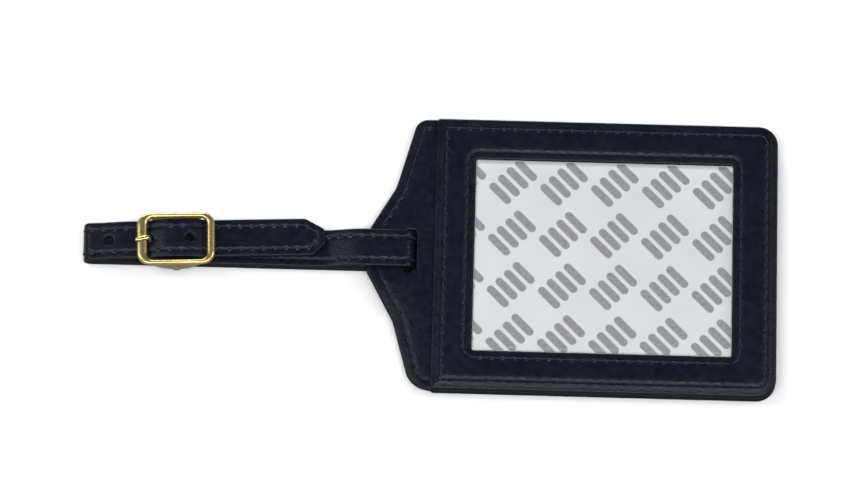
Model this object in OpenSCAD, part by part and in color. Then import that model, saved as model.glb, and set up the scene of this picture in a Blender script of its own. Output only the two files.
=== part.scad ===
/* [Tag body] */
// Length of the sewn body, from its step at the neck to its free end
body_len = 98; // [90:0.5:110]
// Width of the body
body_w = 81; // [76:0.5:90]
// Radius of the body's outer corners
body_corner_r = 5.5; // [5:0.5:8]
// Length of the front window
window_len = 74; // [60:0.5:74]
// Width of the front window
window_w = 57.4; // [45:0.1:58]
// Border between the neck step and the front window
window_border = 11.4; // [10:0.1:14]
// How far the front window sits below the middle of the body
window_drop = 0.2; // [0:0.1:1]

/* [Neck] */
// Reach of the neck beyond the body
neck_reach = 19; // [17:0.5:20]
// Half width of the neck where its sides change slope
neck_kink_half_w = 20; // [15:0.5:25]
// Reach of the neck at that change of slope
neck_kink_reach = 11.2; // [10:0.1:12]
// Distance from the neck step to the near edge of the slot
slot_near = 4.9; // [4:0.1:4.9]
// Distance from the neck step to the far edge of the slot
slot_far = 8.4; // [8.3:0.1:8.6]
// Length of the slot, across the tag
slot_w = 12.9; // [12.9:0.1:16]

/* [Strap] */
// Width of the strap
strap_w = 11; // [9:0.1:11]
// Thickness of the strap's outer ply
outer_ply = 1.0; // [0.8:0.05:1]
// Thickness of the strap's lining ply
lining_ply = 0.8; // [0.6:0.05:0.8]
// Distance from the neck step to the outside of the far fold
strap_reach = 100.4; // [98:0.1:104]
// Distance from the neck step to the end of the free tip
tip_reach = 31; // [30:0.5:32]
// Angle between the free strand and the tag's own axis
strap_skew = 2.5; // [0:0.1:2.6]
// How far the strap sits to one side of the tag's axis
strap_side = 0.8; // [0.6:0.05:0.9]
// Diameter of the punched strap holes
hole_d = 2.7; // [2.5:0.1:2.8]
// Distance between the strap holes
hole_pitch = 11.6; // [11.5:0.1:11.7]

/* [Buckle] */
// Length of the buckle frame, along the strap
buckle_len = 22.3; // [22:0.1:23]
// Width of the buckle frame, across the strap
buckle_w = 15.4; // [15.4:0.1:17]
// Clear width inside the buckle frame
buckle_clear_w = 12.6; // [12.6:0.05:12.8]
// Distance from the neck step to the buckle's centre bar
buckle_reach = 73.7; // [73:0.1:74]
// Diameter of the centre bar
bar_d = 1.4; // [1.2:0.05:1.4]

/* [Stitching] */
// Distance from one stitch to the next
stitch_pitch = 3.25; // [3:0.05:4]
// Length of one visible stitch
stitch_len = 2.3; // [1.5:0.1:2.5]
// Thickness of the thread
stitch_w = 0.55; // [0.4:0.05:0.6]

/* [Hidden] */

$fn = 48;
ARC_STEPS = 8;
RAMP_STEPS = 10;
eps = 0.01;
slope_step = 0.1;

// The origin is under the middle of the whole object; the neck step is at step_x.
step_x = (strap_reach - body_len) / 2;

// Heights of the layers of the body, from the resting face up
rear_leather_t = 1.2;
vinyl_t = 0.25;
card_gap_low = rear_leather_t + vinyl_t;
panel_z = 2.0;
panel_top = 3.2;
board_top = 4.3;
adhesive_top = 4.5;
front_top = 5.9;
liner_gap = 0.05;
liner_t = 0.2;
card_t = 0.4;
card_play = 0.05;

// Plan sizes of the pieces inside the body
step_corner_r = 1;
board_inset = 2.5;
board_corner_r = 3;
liner_play = 0.3;
window_corner_r = 0.8;
window_y_low = -window_w / 2 - window_drop;
rear_window_len = 76;
rear_window_w = 52;
rear_window_r = 3;
vinyl_overlap = 5;
card_len = 86;
card_side_play = 0.5;
card_w = 74;
card_border = 5;
card_near_y = -body_w / 2 + card_border;
thumb_notch_r = 7;

// Neck outline
neck_shoulder_reach = 5.5;
neck_corner_r = 3.5;
neck_low_corner_r = 7.5;
neck_kink_r = 8;
neck_tip_half_w = 5.9;
neck_tip_r = 1.5;
neck_board_gap = 0.1;
slot_side = 0.4;
slot_corner_r = 1;
least_corner_r = 0.5;

// Seams, measured in from the edge that each follows
edge_inset = 2.7;
window_seam_inset = 2.2;
neck_inset = 2.7;
rear_seam_inset = 2.6;
strap_seam_inset = 2.1;
stitch_proud = 0.12;
stitch_sunk = 0.3;
neck_seam_start = 0.9;
neck_seam_end = 7.8;

// Strap heights are those of the glue line between its two plies.
neck_gap = 0.1;
strand_gap = 0.2;
tip_gap = 0.3;
strap_t = outer_ply + lining_ply;
return_z = outer_ply;
over_neck_z = adhesive_top + neck_gap + lining_ply;
slot_turn_z = (return_z + over_neck_z) / 2;
buckle_strand_z = strap_t + strand_gap + lining_ply;
tip_z = buckle_strand_z + outer_ply + tip_gap + lining_ply;
under_bar_z = 4.8;
hump_z = 6.2;
far_fold_z = 3.8;
under_tip_bar = 64.5;
hump_near = 71.7;
hump_far = 74.8;
under_tongue_bar_near = 82.4;
under_tongue_bar_far = 86;
far_fold_r = (far_fold_z - return_z) / 2;
far_fold_reach = strap_reach - far_fold_r - outer_ply;

// Reaches at which the strap is divided between the bodies
neck_part_end = 20;
loop_part_start = 32;
tip_flex_far = 61.5;
tip_flex_near = 55.5;

// Fold of the strap round the centre bar, where the outer ply is thinned between two reaches
bar_z = 3.6;
fold_bore_r = 1;
fold_ply = 0.7;
thinned_from = 66;
thinned_to = 71;
tail_end = 60.2;
tail_settle = 67;
lining_end = 60;
tongue_slot_w = 3;
tongue_slot_reach = 71.2;
tongue_slot_top = 9;
cross_stitches = 4;
cross_stitch_gap = 2.2;
cross_stitch_inset = 1.6;
cross_stitch_scale = 0.75;
buckle_side = 1.3;

// Punched holes, from just above the return strand up
hole_to_bar = 3.9;
first_hole_reach = buckle_reach - hole_to_bar;
hole_floor = strap_t + 2 * strand_gap;
hole_depth = 12;

// Buckle
bar_head_r = 1.15;
bar_head_t = 0.3;
frame_z = 6.5;
frame_t = 1.6;
frame_tongue_bar = 2.9;
frame_tip_bar = 2.3;
frame_corner_r = 3.6;
frame_inner_r = 2;
lug_len = 3.6;
tongue_side = 0.4;
tongue_w = 1.3;
tongue_t = 0.9;
tongue_eye_w = 2;
tongue_eye_r = 1.5;
tongue_play = 0.06;
tongue_rest_gap = 0.05;
rise_to_hole = 0.1;
tongue_run_z = 2.7;
tongue_rise_reach = first_hole_reach + hole_pitch - rise_to_hole;
tongue_tip_reach = 85.3;
tongue_bend = 1.2;

// Free tip, whose two shoulders differ
tip_shoulders = [3.6, 5.8];
tip_end_half_w = 2.1;
tip_r = 2.2;
tip_seam_r = 1;

navy = [0.10, 0.11, 0.18];
lining_colour = [0.16, 0.17, 0.24];
thread_colour = [0.24, 0.29, 0.36];
brass_colour = [0.72, 0.62, 0.34];

// ---------- Plan outlines ----------

// Points of the arc that rounds the corner b, between the neighbours a and c
function rounded(a, b, c, r) =
    let (u = (a - b) / norm(a - b))
    let (v = (c - b) / norm(c - b))
    let (half = acos(u * v) / 2)
    let (centre = b + (u + v) / norm(u + v) * r / sin(half))
    let (from = b + u * r / tan(half) - centre)
    let (turn = 180 - 2 * half)
    let (side = cross(b - a, c - b) > 0 ? 1 : -1)
    [for (i = [0:ARC_STEPS])
        let (t = side * turn * i / ARC_STEPS)
        centre + [from[0] * cos(t) - from[1] * sin(t), from[0] * sin(t) + from[1] * cos(t)]];

// Closed outline through corners given as [x, y, radius]
function outline(corners) =
    let (n = len(corners))
    [for (i = [0:n - 1])
        let (a = corners[(i + n - 1) % n])
        let (b = corners[i])
        let (c = corners[(i + 1) % n])
        each rounded([a[0], a[1]], [b[0], b[1]], [c[0], c[1]], b[2])];

function box_corners(x0, x1, y0, y1, r) = [[x0, y0, r], [x1, y0, r], [x1, y1, r], [x0, y1, r]];

// The body's outline, moved in by an inset; its corners at the neck step are nearly square
function body_corners(inset, r, step_r) =
    let (edge = body_w / 2 - inset)
    let (end = body_len - inset)
    [[inset, -edge, step_r], [end, -edge, r], [end, edge, r], [inset, edge, step_r]];

// Corners [x, y, radius] of a counter-clockwise outline, moved in by a distance
function inset_corners(corners, inset) =
    let (n = len(corners))
    [for (i = [0:n - 1])
        let (a = corners[(i + n - 1) % n])
        let (b = corners[i])
        let (c = corners[(i + 1) % n])
        let (into = [b[0] - a[0], b[1] - a[1]])
        let (away = [c[0] - b[0], c[1] - b[1]])
        let (p = [-into[1], into[0]] / norm(into))
        let (q = [-away[1], away[0]] / norm(away))
        let (move = (p + q) * inset / (1 + p * q))
        let (r = cross(into, away) > 0 ? b[2] - inset : b[2] + inset)
        [b[0] + move[0], b[1] + move[1], max(r, least_corner_r)]];

// Corners of the leather's outline
function tag_corners() = [
    [-neck_shoulder_reach, -body_w / 2, neck_low_corner_r],
    [body_len, -body_w / 2, body_corner_r],
    [body_len, body_w / 2, body_corner_r],
    [-neck_shoulder_reach, body_w / 2, neck_corner_r],
    [-neck_kink_reach, neck_kink_half_w, neck_kink_r],
    [-neck_reach, neck_tip_half_w, neck_tip_r],
    [-neck_reach, -neck_tip_half_w, neck_tip_r],
    [-neck_kink_reach, -neck_kink_half_w, neck_kink_r]];

module plate(points, z0, z1) {
    translate([step_x, 0, z0]) linear_extrude(z1 - z0) polygon(points);
}

module body_plate(inset, r, z0, z1) {
    plate(outline(body_corners(inset, r, step_corner_r)), z0, z1);
}

module front_window(grow, z0, z1) {
    x0 = window_border - grow;
    x1 = window_border + window_len + grow;
    y0 = window_y_low - grow;
    y1 = window_y_low + window_w + grow;
    plate(outline(box_corners(x0, x1, y0, y1, window_corner_r)), z0, z1);
}

module rear_window(grow, r, z0, z1) {
    mid = body_len / 2;
    half_l = rear_window_len / 2 + grow;
    half_w = rear_window_w / 2 + grow;
    plate(outline(box_corners(mid - half_l, mid + half_l, -half_w, half_w, r)), z0, z1);
}

module neck_slot() {
    corners = box_corners(-slot_far, -slot_near, slot_side - slot_w / 2, slot_side + slot_w / 2,
        slot_corner_r);
    plate(outline(corners), panel_z - 1, adhesive_top + 1);
}

// The pocket that holds the card, open along the +Y edge
module card_pocket(z0, z1) {
    x0 = (body_len - card_len) / 2 - card_side_play;
    length = card_len + 2 * card_side_play;
    translate([step_x + x0, card_near_y - card_side_play, z0]) cube([length, body_w, z1 - z0]);
}

// ---------- Stitch rows ----------

// Running length of a line of points, at each point
function run_lengths(p) =
    let (steps = concat([0], [for (i = [1:len(p) - 1]) norm(p[i] - p[i - 1])]))
    [for (i = 0, s = 0; i < len(p); i = i + 1, s = s + (i < len(p) ? steps[i] : 0)) s];

module stitch() {
    height = stitch_proud + stitch_sunk;
    translate([-stitch_len / 2, -stitch_w / 2, -stitch_sunk]) cube([stitch_len, stitch_w, height]);
}

// Evenly spaced stitches along a line on a flat face at height z
module stitch_row(points, z) {
    run = run_lengths(points);
    total = run[len(run) - 1];
    count = round(total / stitch_pitch);
    for (k = [0:count - 1]) {
        s = (k + 0.5) * total / count;
        i = max([for (j = [0:len(points) - 2]) if (run[j] <= s) j]);
        along = points[i + 1] - points[i];
        spot = points[i] + along * (s - run[i]) / norm(along);
        translate([step_x + spot[0], spot[1], z]) rotate([0, 0, atan2(along[1], along[0])]) stitch();
    }
}

function closed(points) = concat(points, [points[0]]);

// ---------- Strap ----------

// Height on a line whose stations are joined by level-ended ramps; stations go away from the neck
function line_height(stations, reach) =
    let (i = max([for (j = [0:len(stations) - 2]) if (stations[j][0] <= reach) j]))
    let (a = stations[i])
    let (b = stations[i + 1])
    let (u = min(1, (reach - a[0]) / (b[0] - a[0])))
    a[1] + (b[1] - a[1]) * (1 - cos(180 * u)) / 2;

// Side-view points [-reach, height] of a line between two reaches
function line_points(stations, from, to) =
    let (inner = [for (s = stations) if (s[0] > from && s[0] < to) s[0]])
    let (marks = concat([from], inner, [to]))
    [for (i = [0:len(marks) - 2])
        each [for (k = [0:RAMP_STEPS - (i == len(marks) - 2 ? 0 : 1)])
            let (reach = marks[i] + (marks[i + 1] - marks[i]) * k / RAMP_STEPS)
            [-reach, line_height(stations, reach)]]];

function arc_points(cx, cz, r, a0, a1) = [for (k = [0:2 * ARC_STEPS])
    let (a = a0 + (a1 - a0) * k / (2 * ARC_STEPS))
    [cx + r * cos(a), cz + r * sin(a)]];

// Unit vector to the outside of the strap loop at point i of its side view; its ends lie level
function outward(p, i) =
    let (last = len(p) - 1)
    let (d = p[min(i + 1, last)] - p[max(i - 1, 0)])
    i == 0 || i == last ? [0, -sign(d[0])] : [d[1], -d[0]] / norm(d);

// Extrudes a side-view polygon across the strap, about the line y = mid
module across(points, mid, width) {
    translate([step_x, mid + width / 2, 0]) rotate([90, 0, 0]) linear_extrude(width) polygon(points);
}

// A side-view path moved to the strap's outside, by a distance for each of its points
function offset_path(path, by) = [for (i = [0:len(path) - 1]) path[i] + outward(path, i) * by[i]];

function same(path, by) = [for (p = path) by];

function backwards(points) = [for (i = [len(points) - 1:-1:0]) points[i]];

// A ply that follows a side-view path, from depth a inside the glue line to depth b outside it
module ply(path, a, b) {
    outer = offset_path(path, same(path, b));
    inner = offset_path(path, same(path, a));
    across(concat(outer, backwards(inner)), strap_side, strap_w);
}

// Turns a piece of the free strand to the strand's skew, about the far fold
module skewed() {
    pivot = [step_x - far_fold_reach, strap_side, 0];
    translate(pivot) rotate([0, 0, strap_skew]) translate(-pivot) children();
}

free_line = [[tip_reach, tip_z], [tip_flex_near, tip_z], [tip_flex_far, under_bar_z],
    [under_tip_bar, under_bar_z], [hump_near, hump_z], [hump_far, hump_z],
    [under_tongue_bar_near, under_bar_z], [under_tongue_bar_far, under_bar_z], [far_fold_reach, far_fold_z]];
buckle_line = [[neck_part_end, over_neck_z], [loop_part_start, buckle_strand_z],
    [under_tip_bar, buckle_strand_z], [buckle_reach, bar_z + fold_bore_r]];
slot_turn_r = over_neck_z - slot_turn_z;
neck_path = concat([[-neck_part_end, return_z]], arc_points(-slot_far, slot_turn_z, slot_turn_r, -90, 90),
    [[-neck_part_end, over_neck_z]]);
return_path = [[-far_fold_reach, return_z], [-loop_part_start, return_z]];
far_fold_path = concat(arc_points(-far_fold_reach, (far_fold_z + return_z) / 2, far_fold_r, 90, 270),
    [return_path[1]]);
free_path = line_points(free_line, tip_flex_far, far_fold_reach);
fold_path = concat(line_points(buckle_line, loop_part_start, buckle_reach),
    arc_points(-buckle_reach, bar_z, fold_bore_r, 95, 265));

// Thickness of the outer ply at each point of the fold
fold_plies = [for (p = fold_path)
    let (share = (-p[0] - thinned_from) / (thinned_to - thinned_from))
    outer_ply + (fold_ply - outer_ply) * min(1, max(0, share))];

module strap_holes() {
    skewed() for (k = [0:2]) translate([step_x - first_hole_reach - k * hole_pitch, strap_side, hole_floor])
        cylinder(d = hole_d, h = hole_depth);
}

// Points round the free tip, moved in by an inset, from one side of the strap to the other
function tip_points(inset) =
    let (half = strap_w / 2)
    let (corners = inset_corners([
        [-tip_flex_near, -half, tip_r],
        [-tip_reach - tip_shoulders[0], -half, tip_r],
        [-tip_reach, -tip_end_half_w, tip_r],
        [-tip_reach, tip_end_half_w, tip_r],
        [-tip_reach - tip_shoulders[1], half, tip_r],
        [-tip_flex_near, half, tip_r]], inset))
    let (c = [for (p = corners) [p[0], p[1]]])
    concat([[-tip_flex_near, c[0][1]]],
        [for (i = [1:4]) each rounded(c[i - 1], c[i], c[i + 1], max(tip_r - inset, tip_seam_r))],
        [[-tip_flex_near, c[5][1]]]);

module tip_plate(z0, z1) {
    translate([0, strap_side, 0]) plate(tip_points(0), z0, z1);
}

// Stitches down both edges of a strand, on its outer face
module strand_stitches(stations, from, to) {
    count = floor((to - from) / stitch_pitch);
    for (k = [0:count - 1]) {
        reach = from + (k + 0.5) * (to - from) / count;
        rise = line_height(stations, reach + slope_step) - line_height(stations, reach - slope_step);
        tilt = atan2(rise, 2 * slope_step);
        z = line_height(stations, reach) + outer_ply / cos(tilt);
        for (side = [-1, 1]) {
            y = strap_side + side * (strap_w / 2 - strap_seam_inset);
            translate([step_x - reach, y, z]) rotate([0, tilt, 0]) stitch();
        }
    }
}

// ---------- Pieces of the body ----------

module front_frame() {
    color(navy) difference() {
        union() {
            body_plate(0, body_corner_r, adhesive_top, front_top);
            difference() {
                body_plate(0, body_corner_r, panel_top, adhesive_top + eps);
                body_plate(board_inset, board_corner_r, panel_top - 1, adhesive_top);
                translate([step_x - 1, -body_w, panel_top - 1]) cube([board_inset + 1, 2 * body_w,
                    adhesive_top - panel_top + 1]);
            }
        }
        front_window(0, adhesive_top - 1, front_top + 1);
    }
}

module front_edge_stitching() {
    corners = body_corners(edge_inset, body_corner_r - edge_inset, step_corner_r);
    color(thread_colour) stitch_row(closed(outline(corners)), front_top);
}

module front_window_stitching() {
    x0 = window_border - window_seam_inset;
    x1 = window_border + window_len + window_seam_inset;
    y0 = window_y_low - window_seam_inset;
    y1 = window_y_low + window_w + window_seam_inset;
    color(thread_colour) stitch_row(closed(outline(box_corners(x0, x1, y0, y1, window_corner_r))), front_top);
}

module neck_facing() {
    length = neck_reach + 1 + board_inset - neck_board_gap;
    color(navy) difference() {
        intersection() {
            plate(outline(tag_corners()), panel_top, adhesive_top);
            translate([step_x - neck_reach - 1, -body_w, 0]) cube([length, 2 * body_w, front_top]);
        }
        neck_slot();
    }
}

// The seam down one side of the neck, from the step until the strap covers it, past the corners
// whose places in the outline are given
function neck_seam(places) =
    let (all = inset_corners(tag_corners(), neck_inset))
    let (c = [for (i = places) [all[i][0], all[i][1]]])
    let (part = (abs(c[2][1]) - neck_seam_end) / (abs(c[2][1]) - abs(c[3][1])))
    concat([[-neck_seam_start, c[1][1]]],
        [for (p = rounded(c[0], c[1], c[2], all[places[1]][2])) if (p[0] < -neck_seam_start) p],
        rounded(c[1], c[2], c[3], all[places[2]][2]), [c[2] + (c[3] - c[2]) * part]);

module neck_stitching() {
    color(thread_colour) {
        stitch_row(neck_seam([2, 3, 4, 5]), adhesive_top);
        stitch_row(neck_seam([1, 0, 7, 6]), adhesive_top);
    }
}

module adhesive_sheet() {
    color([0.93, 0.93, 0.90]) body_plate(board_inset, board_corner_r, board_top, adhesive_top);
}

module release_liner() {
    low = adhesive_top + liner_gap;
    color([0.90, 0.91, 0.92]) front_window(-liner_play, low, low + liner_t);
}

module core_board() {
    color([0.62, 0.60, 0.56]) body_plate(board_inset, board_corner_r, panel_top, board_top);
}

module back_panel() {
    color(navy) difference() {
        union() {
            plate(outline(tag_corners()), panel_z, panel_top);
            body_plate(0, body_corner_r, card_gap_low, panel_z + eps);
        }
        card_pocket(card_gap_low - 1, panel_z);
        neck_slot();
    }
}

module address_card() {
    low = card_gap_low + card_play;
    x0 = (body_len - card_len) / 2;
    color([0.95, 0.94, 0.90]) translate([step_x + x0, card_near_y, low]) cube([card_len, card_w, card_t]);
}

module card_window() {
    color([0.80, 0.86, 0.90, 0.4]) rear_window(vinyl_overlap, rear_window_r, rear_leather_t, card_gap_low);
}

module rear_frame() {
    color(navy) difference() {
        body_plate(0, body_corner_r, 0, card_gap_low);
        rear_window(0, rear_window_r, -1, card_gap_low + 1);
        rear_window(vinyl_overlap, rear_window_r, rear_leather_t, card_gap_low + 1);
        translate([step_x + body_len / 2, body_w / 2, -1]) cylinder(r = thumb_notch_r, h = card_gap_low + 2);
    }
}

module rear_window_stitching() {
    mid = body_len / 2;
    half_l = rear_window_len / 2 + rear_seam_inset;
    half_w = rear_window_w / 2 + rear_seam_inset;
    corners = box_corners(mid - half_l, mid + half_l, -half_w, half_w, rear_window_r);
    color(thread_colour) stitch_row(closed(outline(corners)), stitch_sunk);
}

// ---------- Pieces of the strap ----------

module strap_neck_outer() {
    color(navy) ply(neck_path, 0, outer_ply);
}

module strap_neck_lining() {
    color(lining_colour) ply(neck_path, -lining_ply, 0);
}

module strap_neck_stitching() {
    color(thread_colour) strand_stitches([[slot_far, over_neck_z], [neck_part_end, over_neck_z]], slot_far,
        neck_part_end);
}

module strap_flex_upper() {
    color(navy) ply(line_points(buckle_line, neck_part_end, loop_part_start), -lining_ply, outer_ply);
}

module strap_flex_lower() {
    color(navy) ply([[-loop_part_start, return_z], [-neck_part_end, return_z]], -lining_ply, outer_ply);
}

module strap_loop_outer() {
    color(navy) difference() {
        union() {
            ply(far_fold_path, 0, outer_ply);
            skewed() ply(free_path, 0, outer_ply);
        }
        strap_holes();
    }
}

module strap_loop_lining() {
    color(lining_colour) difference() {
        union() {
            ply(far_fold_path, -lining_ply, 0);
            skewed() ply(free_path, -lining_ply, 0);
        }
        strap_holes();
    }
}

// The outer ply folds round the centre bar, and its tail is sewn under the strand in the lining's place.
module buckle_strand_outer() {
    tail_low = buckle_strand_z - lining_ply;
    tail = [[-buckle_reach, bar_z - fold_bore_r], [-tail_settle, buckle_strand_z],
        [-tail_end, buckle_strand_z], [-tail_end, tail_low], [-buckle_reach, tail_low]];
    slot_x = step_x - buckle_reach - 2 * fold_bore_r - 1;
    slot_y = buckle_side + tongue_side - tongue_slot_w / 2;
    color(navy) difference() {
        union() {
            across(concat(offset_path(fold_path, fold_plies), backwards(fold_path)), strap_side, strap_w);
            across(tail, strap_side, strap_w);
        }
        translate([step_x - buckle_reach, 0, bar_z]) rotate([90, 0, 0])
            cylinder(r = fold_bore_r, h = 2 * strap_w, center = true);
        translate([slot_x, slot_y, 0]) cube([step_x - tongue_slot_reach - slot_x, tongue_slot_w,
            tongue_slot_top]);
    }
}

module buckle_strand_lining() {
    color(lining_colour) ply(line_points(buckle_line, loop_part_start, lining_end), -lining_ply, 0);
}

module buckle_strand_stitching() {
    color(thread_colour) {
        strand_stitches(buckle_line, loop_part_start, tail_end);
        translate([step_x - tail_end - cross_stitch_inset, strap_side, buckle_strand_z + outer_ply])
            for (k = [0:cross_stitches - 1])
                translate([0, (k - (cross_stitches - 1) / 2) * cross_stitch_gap, 0])
                    rotate([0, 0, 90]) scale(cross_stitch_scale) stitch();
    }
}

module free_strand_stitching() {
    color(thread_colour) skewed() strand_stitches(free_line, tip_flex_far, far_fold_reach);
}

module strap_tip_flex() {
    color(navy) skewed() ply(line_points(free_line, tip_flex_near, tip_flex_far), -lining_ply, outer_ply);
}

module strap_tip_outer() {
    color(navy) skewed() tip_plate(tip_z, tip_z + outer_ply);
}

module strap_tip_lining() {
    color(lining_colour) skewed() tip_plate(tip_z - lining_ply, tip_z);
}

module strap_tip_stitching() {
    color(thread_colour) skewed() translate([0, strap_side, 0])
        stitch_row(tip_points(strap_seam_inset), tip_z + outer_ply);
}

// ---------- Buckle ----------

// Places a piece drawn about the centre bar: bar along Y at the origin, tongue to -X
module at_bar() {
    translate([step_x - buckle_reach, buckle_side, bar_z]) rotate([0, 0, strap_skew]) children();
}

module bar_along_y(r, length) {
    rotate([90, 0, 0]) cylinder(r = r, h = length, center = true);
}

module buckle_frame() {
    outer = box_corners(-buckle_len / 2, buckle_len / 2, -buckle_w / 2, buckle_w / 2, frame_corner_r);
    inner = box_corners(-buckle_len / 2 + frame_tongue_bar, buckle_len / 2 - frame_tip_bar,
        -buckle_clear_w / 2, buckle_clear_w / 2, frame_inner_r);
    lug_t = (buckle_w - buckle_clear_w) / 2;
    lug_drop = frame_z - bar_z;
    color(brass_colour) at_bar() difference() {
        union() {
            translate([0, 0, lug_drop]) linear_extrude(frame_t) difference() {
                polygon(outline(outer));
                polygon(outline(inner));
            }
            for (side = [-1, 1]) translate([0, side * (buckle_clear_w + lug_t) / 2, 0]) {
                translate([-lug_len / 2, -lug_t / 2, 0]) cube([lug_len, lug_t, lug_drop + frame_t / 2]);
                bar_along_y(lug_len / 2, lug_t);
            }
        }
        bar_along_y(bar_d / 2, 2 * buckle_w);
    }
}

module buckle_bar() {
    color(brass_colour) at_bar() {
        bar_along_y(bar_d / 2, buckle_w);
        for (side = [-1, 1]) translate([0, side * (buckle_w + bar_head_t) / 2, 0])
            bar_along_y(bar_head_r, bar_head_t);
    }
}

module buckle_tongue() {
    half = tongue_t / 2;
    run = tongue_run_z - bar_z;
    rise = buckle_reach - tongue_rise_reach;
    tip = buckle_reach - tongue_tip_reach;
    rest = frame_z + frame_t + tongue_rest_gap - bar_z;
    side = [[0, run - half], [rise + half - tongue_bend, run - half], [rise - half, run - half + tongue_bend],
        [rise - half, rest], [tip + half / 2, rest], [tip, rest + half], [tip + half, rest + tongue_t],
        [rise + half - tongue_bend, rest + tongue_t], [rise + half, rest + tongue_t - tongue_bend],
        [rise + half, run + half], [0, run + half]];
    color(brass_colour) at_bar() translate([0, tongue_side, 0]) difference() {
        union() {
            translate([0, tongue_w / 2, 0]) rotate([90, 0, 0]) linear_extrude(tongue_w) polygon(side);
            bar_along_y(tongue_eye_r, tongue_eye_w);
        }
        bar_along_y(bar_d / 2 + tongue_play, 2 * tongue_eye_w);
    }
}

front_frame();
front_edge_stitching();
front_window_stitching();
neck_facing();
neck_stitching();
adhesive_sheet();
release_liner();
core_board();
back_panel();
address_card();
card_window();
rear_frame();
rear_window_stitching();
strap_neck_outer();
strap_neck_lining();
strap_neck_stitching();
strap_flex_upper();
strap_flex_lower();
strap_loop_outer();
strap_loop_lining();
buckle_strand_outer();
buckle_strand_lining();
buckle_strand_stitching();
free_strand_stitching();
strap_tip_flex();
strap_tip_outer();
strap_tip_lining();
strap_tip_stitching();
buckle_frame();
buckle_bar();
buckle_tongue();
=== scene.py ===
import math

import bmesh
import bpy
import numpy as np
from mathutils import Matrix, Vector, noise
from mathutils.geometry import delaunay_2d_cdt


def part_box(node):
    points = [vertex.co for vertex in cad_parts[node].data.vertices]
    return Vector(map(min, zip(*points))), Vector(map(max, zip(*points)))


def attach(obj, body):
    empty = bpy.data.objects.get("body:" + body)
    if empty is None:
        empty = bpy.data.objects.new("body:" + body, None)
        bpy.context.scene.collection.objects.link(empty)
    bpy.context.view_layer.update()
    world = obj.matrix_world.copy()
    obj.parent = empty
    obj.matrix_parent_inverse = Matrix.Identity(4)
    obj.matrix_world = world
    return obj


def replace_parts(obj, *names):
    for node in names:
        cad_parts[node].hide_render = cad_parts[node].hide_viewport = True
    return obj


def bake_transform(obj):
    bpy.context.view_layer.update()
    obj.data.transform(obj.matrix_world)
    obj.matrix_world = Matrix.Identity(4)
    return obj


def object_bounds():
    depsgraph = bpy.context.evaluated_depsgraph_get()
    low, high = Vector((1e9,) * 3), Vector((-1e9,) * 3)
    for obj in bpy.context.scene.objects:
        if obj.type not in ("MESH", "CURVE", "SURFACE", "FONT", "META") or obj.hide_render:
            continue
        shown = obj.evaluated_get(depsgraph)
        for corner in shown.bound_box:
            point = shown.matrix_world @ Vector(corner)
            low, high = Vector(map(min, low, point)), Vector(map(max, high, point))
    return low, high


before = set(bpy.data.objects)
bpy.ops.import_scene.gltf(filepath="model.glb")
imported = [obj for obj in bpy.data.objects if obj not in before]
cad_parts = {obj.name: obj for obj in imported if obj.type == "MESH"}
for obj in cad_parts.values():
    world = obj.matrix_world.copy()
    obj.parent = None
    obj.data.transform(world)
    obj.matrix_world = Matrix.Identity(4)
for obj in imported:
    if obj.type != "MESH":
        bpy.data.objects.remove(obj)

# Lengths below are in millimetres. A plan place is (u, v): u from the neck step towards the body's
# free end, v along Y. A side-view place on the strap is given by its reach, which is -u.
MM = 0.001
CAD_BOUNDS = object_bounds()


def span(node):
    """Lowest and highest corner of a CAD node, in millimetres."""
    low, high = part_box(node)
    return low / MM, high / MM


# ---------- Sizes from the frame ----------

FRAME_LOW, FRAME_HIGH = span("front_frame")
NECK_LOW, NECK_HIGH = span("neck_facing")
PANEL_LOW, PANEL_HIGH = span("back_panel")
REAR_LOW, REAR_HIGH = span("rear_frame")
LINER_LOW, LINER_HIGH = span("release_liner")
CARD_LOW, CARD_HIGH = span("address_card")
VINYL_LOW, VINYL_HIGH = span("card_window")
BOARD_LOW, _ = span("core_board")
_, SHEET_HIGH = span("adhesive_sheet")
BAR_LOW, BAR_HIGH = span("buckle_bar")
_, BUCKLE_HIGH = span("buckle_frame")
_, TONGUE_HIGH = span("buckle_tongue")

STEP_X = FRAME_LOW.x
BOARD_INSET = BOARD_LOW.x - STEP_X
BOARD_TOP = SHEET_HIGH.z
BOARD_R = 3
BODY_LEN = FRAME_HIGH.x - STEP_X
HALF_W = FRAME_HIGH.y
NECK_PANEL_Z = 2.0

# ---------- Plan outlines: corners are (u, v, radius), counter-clockwise ----------

# The radius of a corner that looks sharp, and the most of a side that the arcs at its ends may take.
SHARP = 0.04
ARC_SHARE = 0.9995

LINER_PLAY = 0.3
WINDOW_R = 0.8
VINYL_OVERLAP = 5
REAR_WINDOW_R = 3
STEP_CORNER_R = 1
CORNER_R = 5.5


def box_corners(u0, u1, v0, v1, r):
    """A rectangle between two places along u and two along v, with round corners."""
    return [(u0, v0, r), (u1, v0, r), (u1, v1, r), (u0, v1, r)]


def grown(corners, d):
    """The outline moved outward by d, or inward by -d, with its round corners kept concentric."""
    count = len(corners)
    moved = []
    for i, (u, v, r) in enumerate(corners):
        here = Vector((u, v))
        before = (here - Vector(corners[i - 1][:2])).normalized()
        after = (Vector(corners[(i + 1) % count][:2]) - here).normalized()
        right_before = Vector((before.y, -before.x))
        right_after = Vector((after.y, -after.x))
        mitre = (right_before + right_after) / (1 + right_before.dot(right_after))
        spot = here + mitre * d
        turns_left = before.x * after.y - before.y * after.x > 0
        radius = r + d if turns_left else r - d
        moved.append((spot.x, spot.y, max(radius, SHARP)))
    return moved


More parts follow.
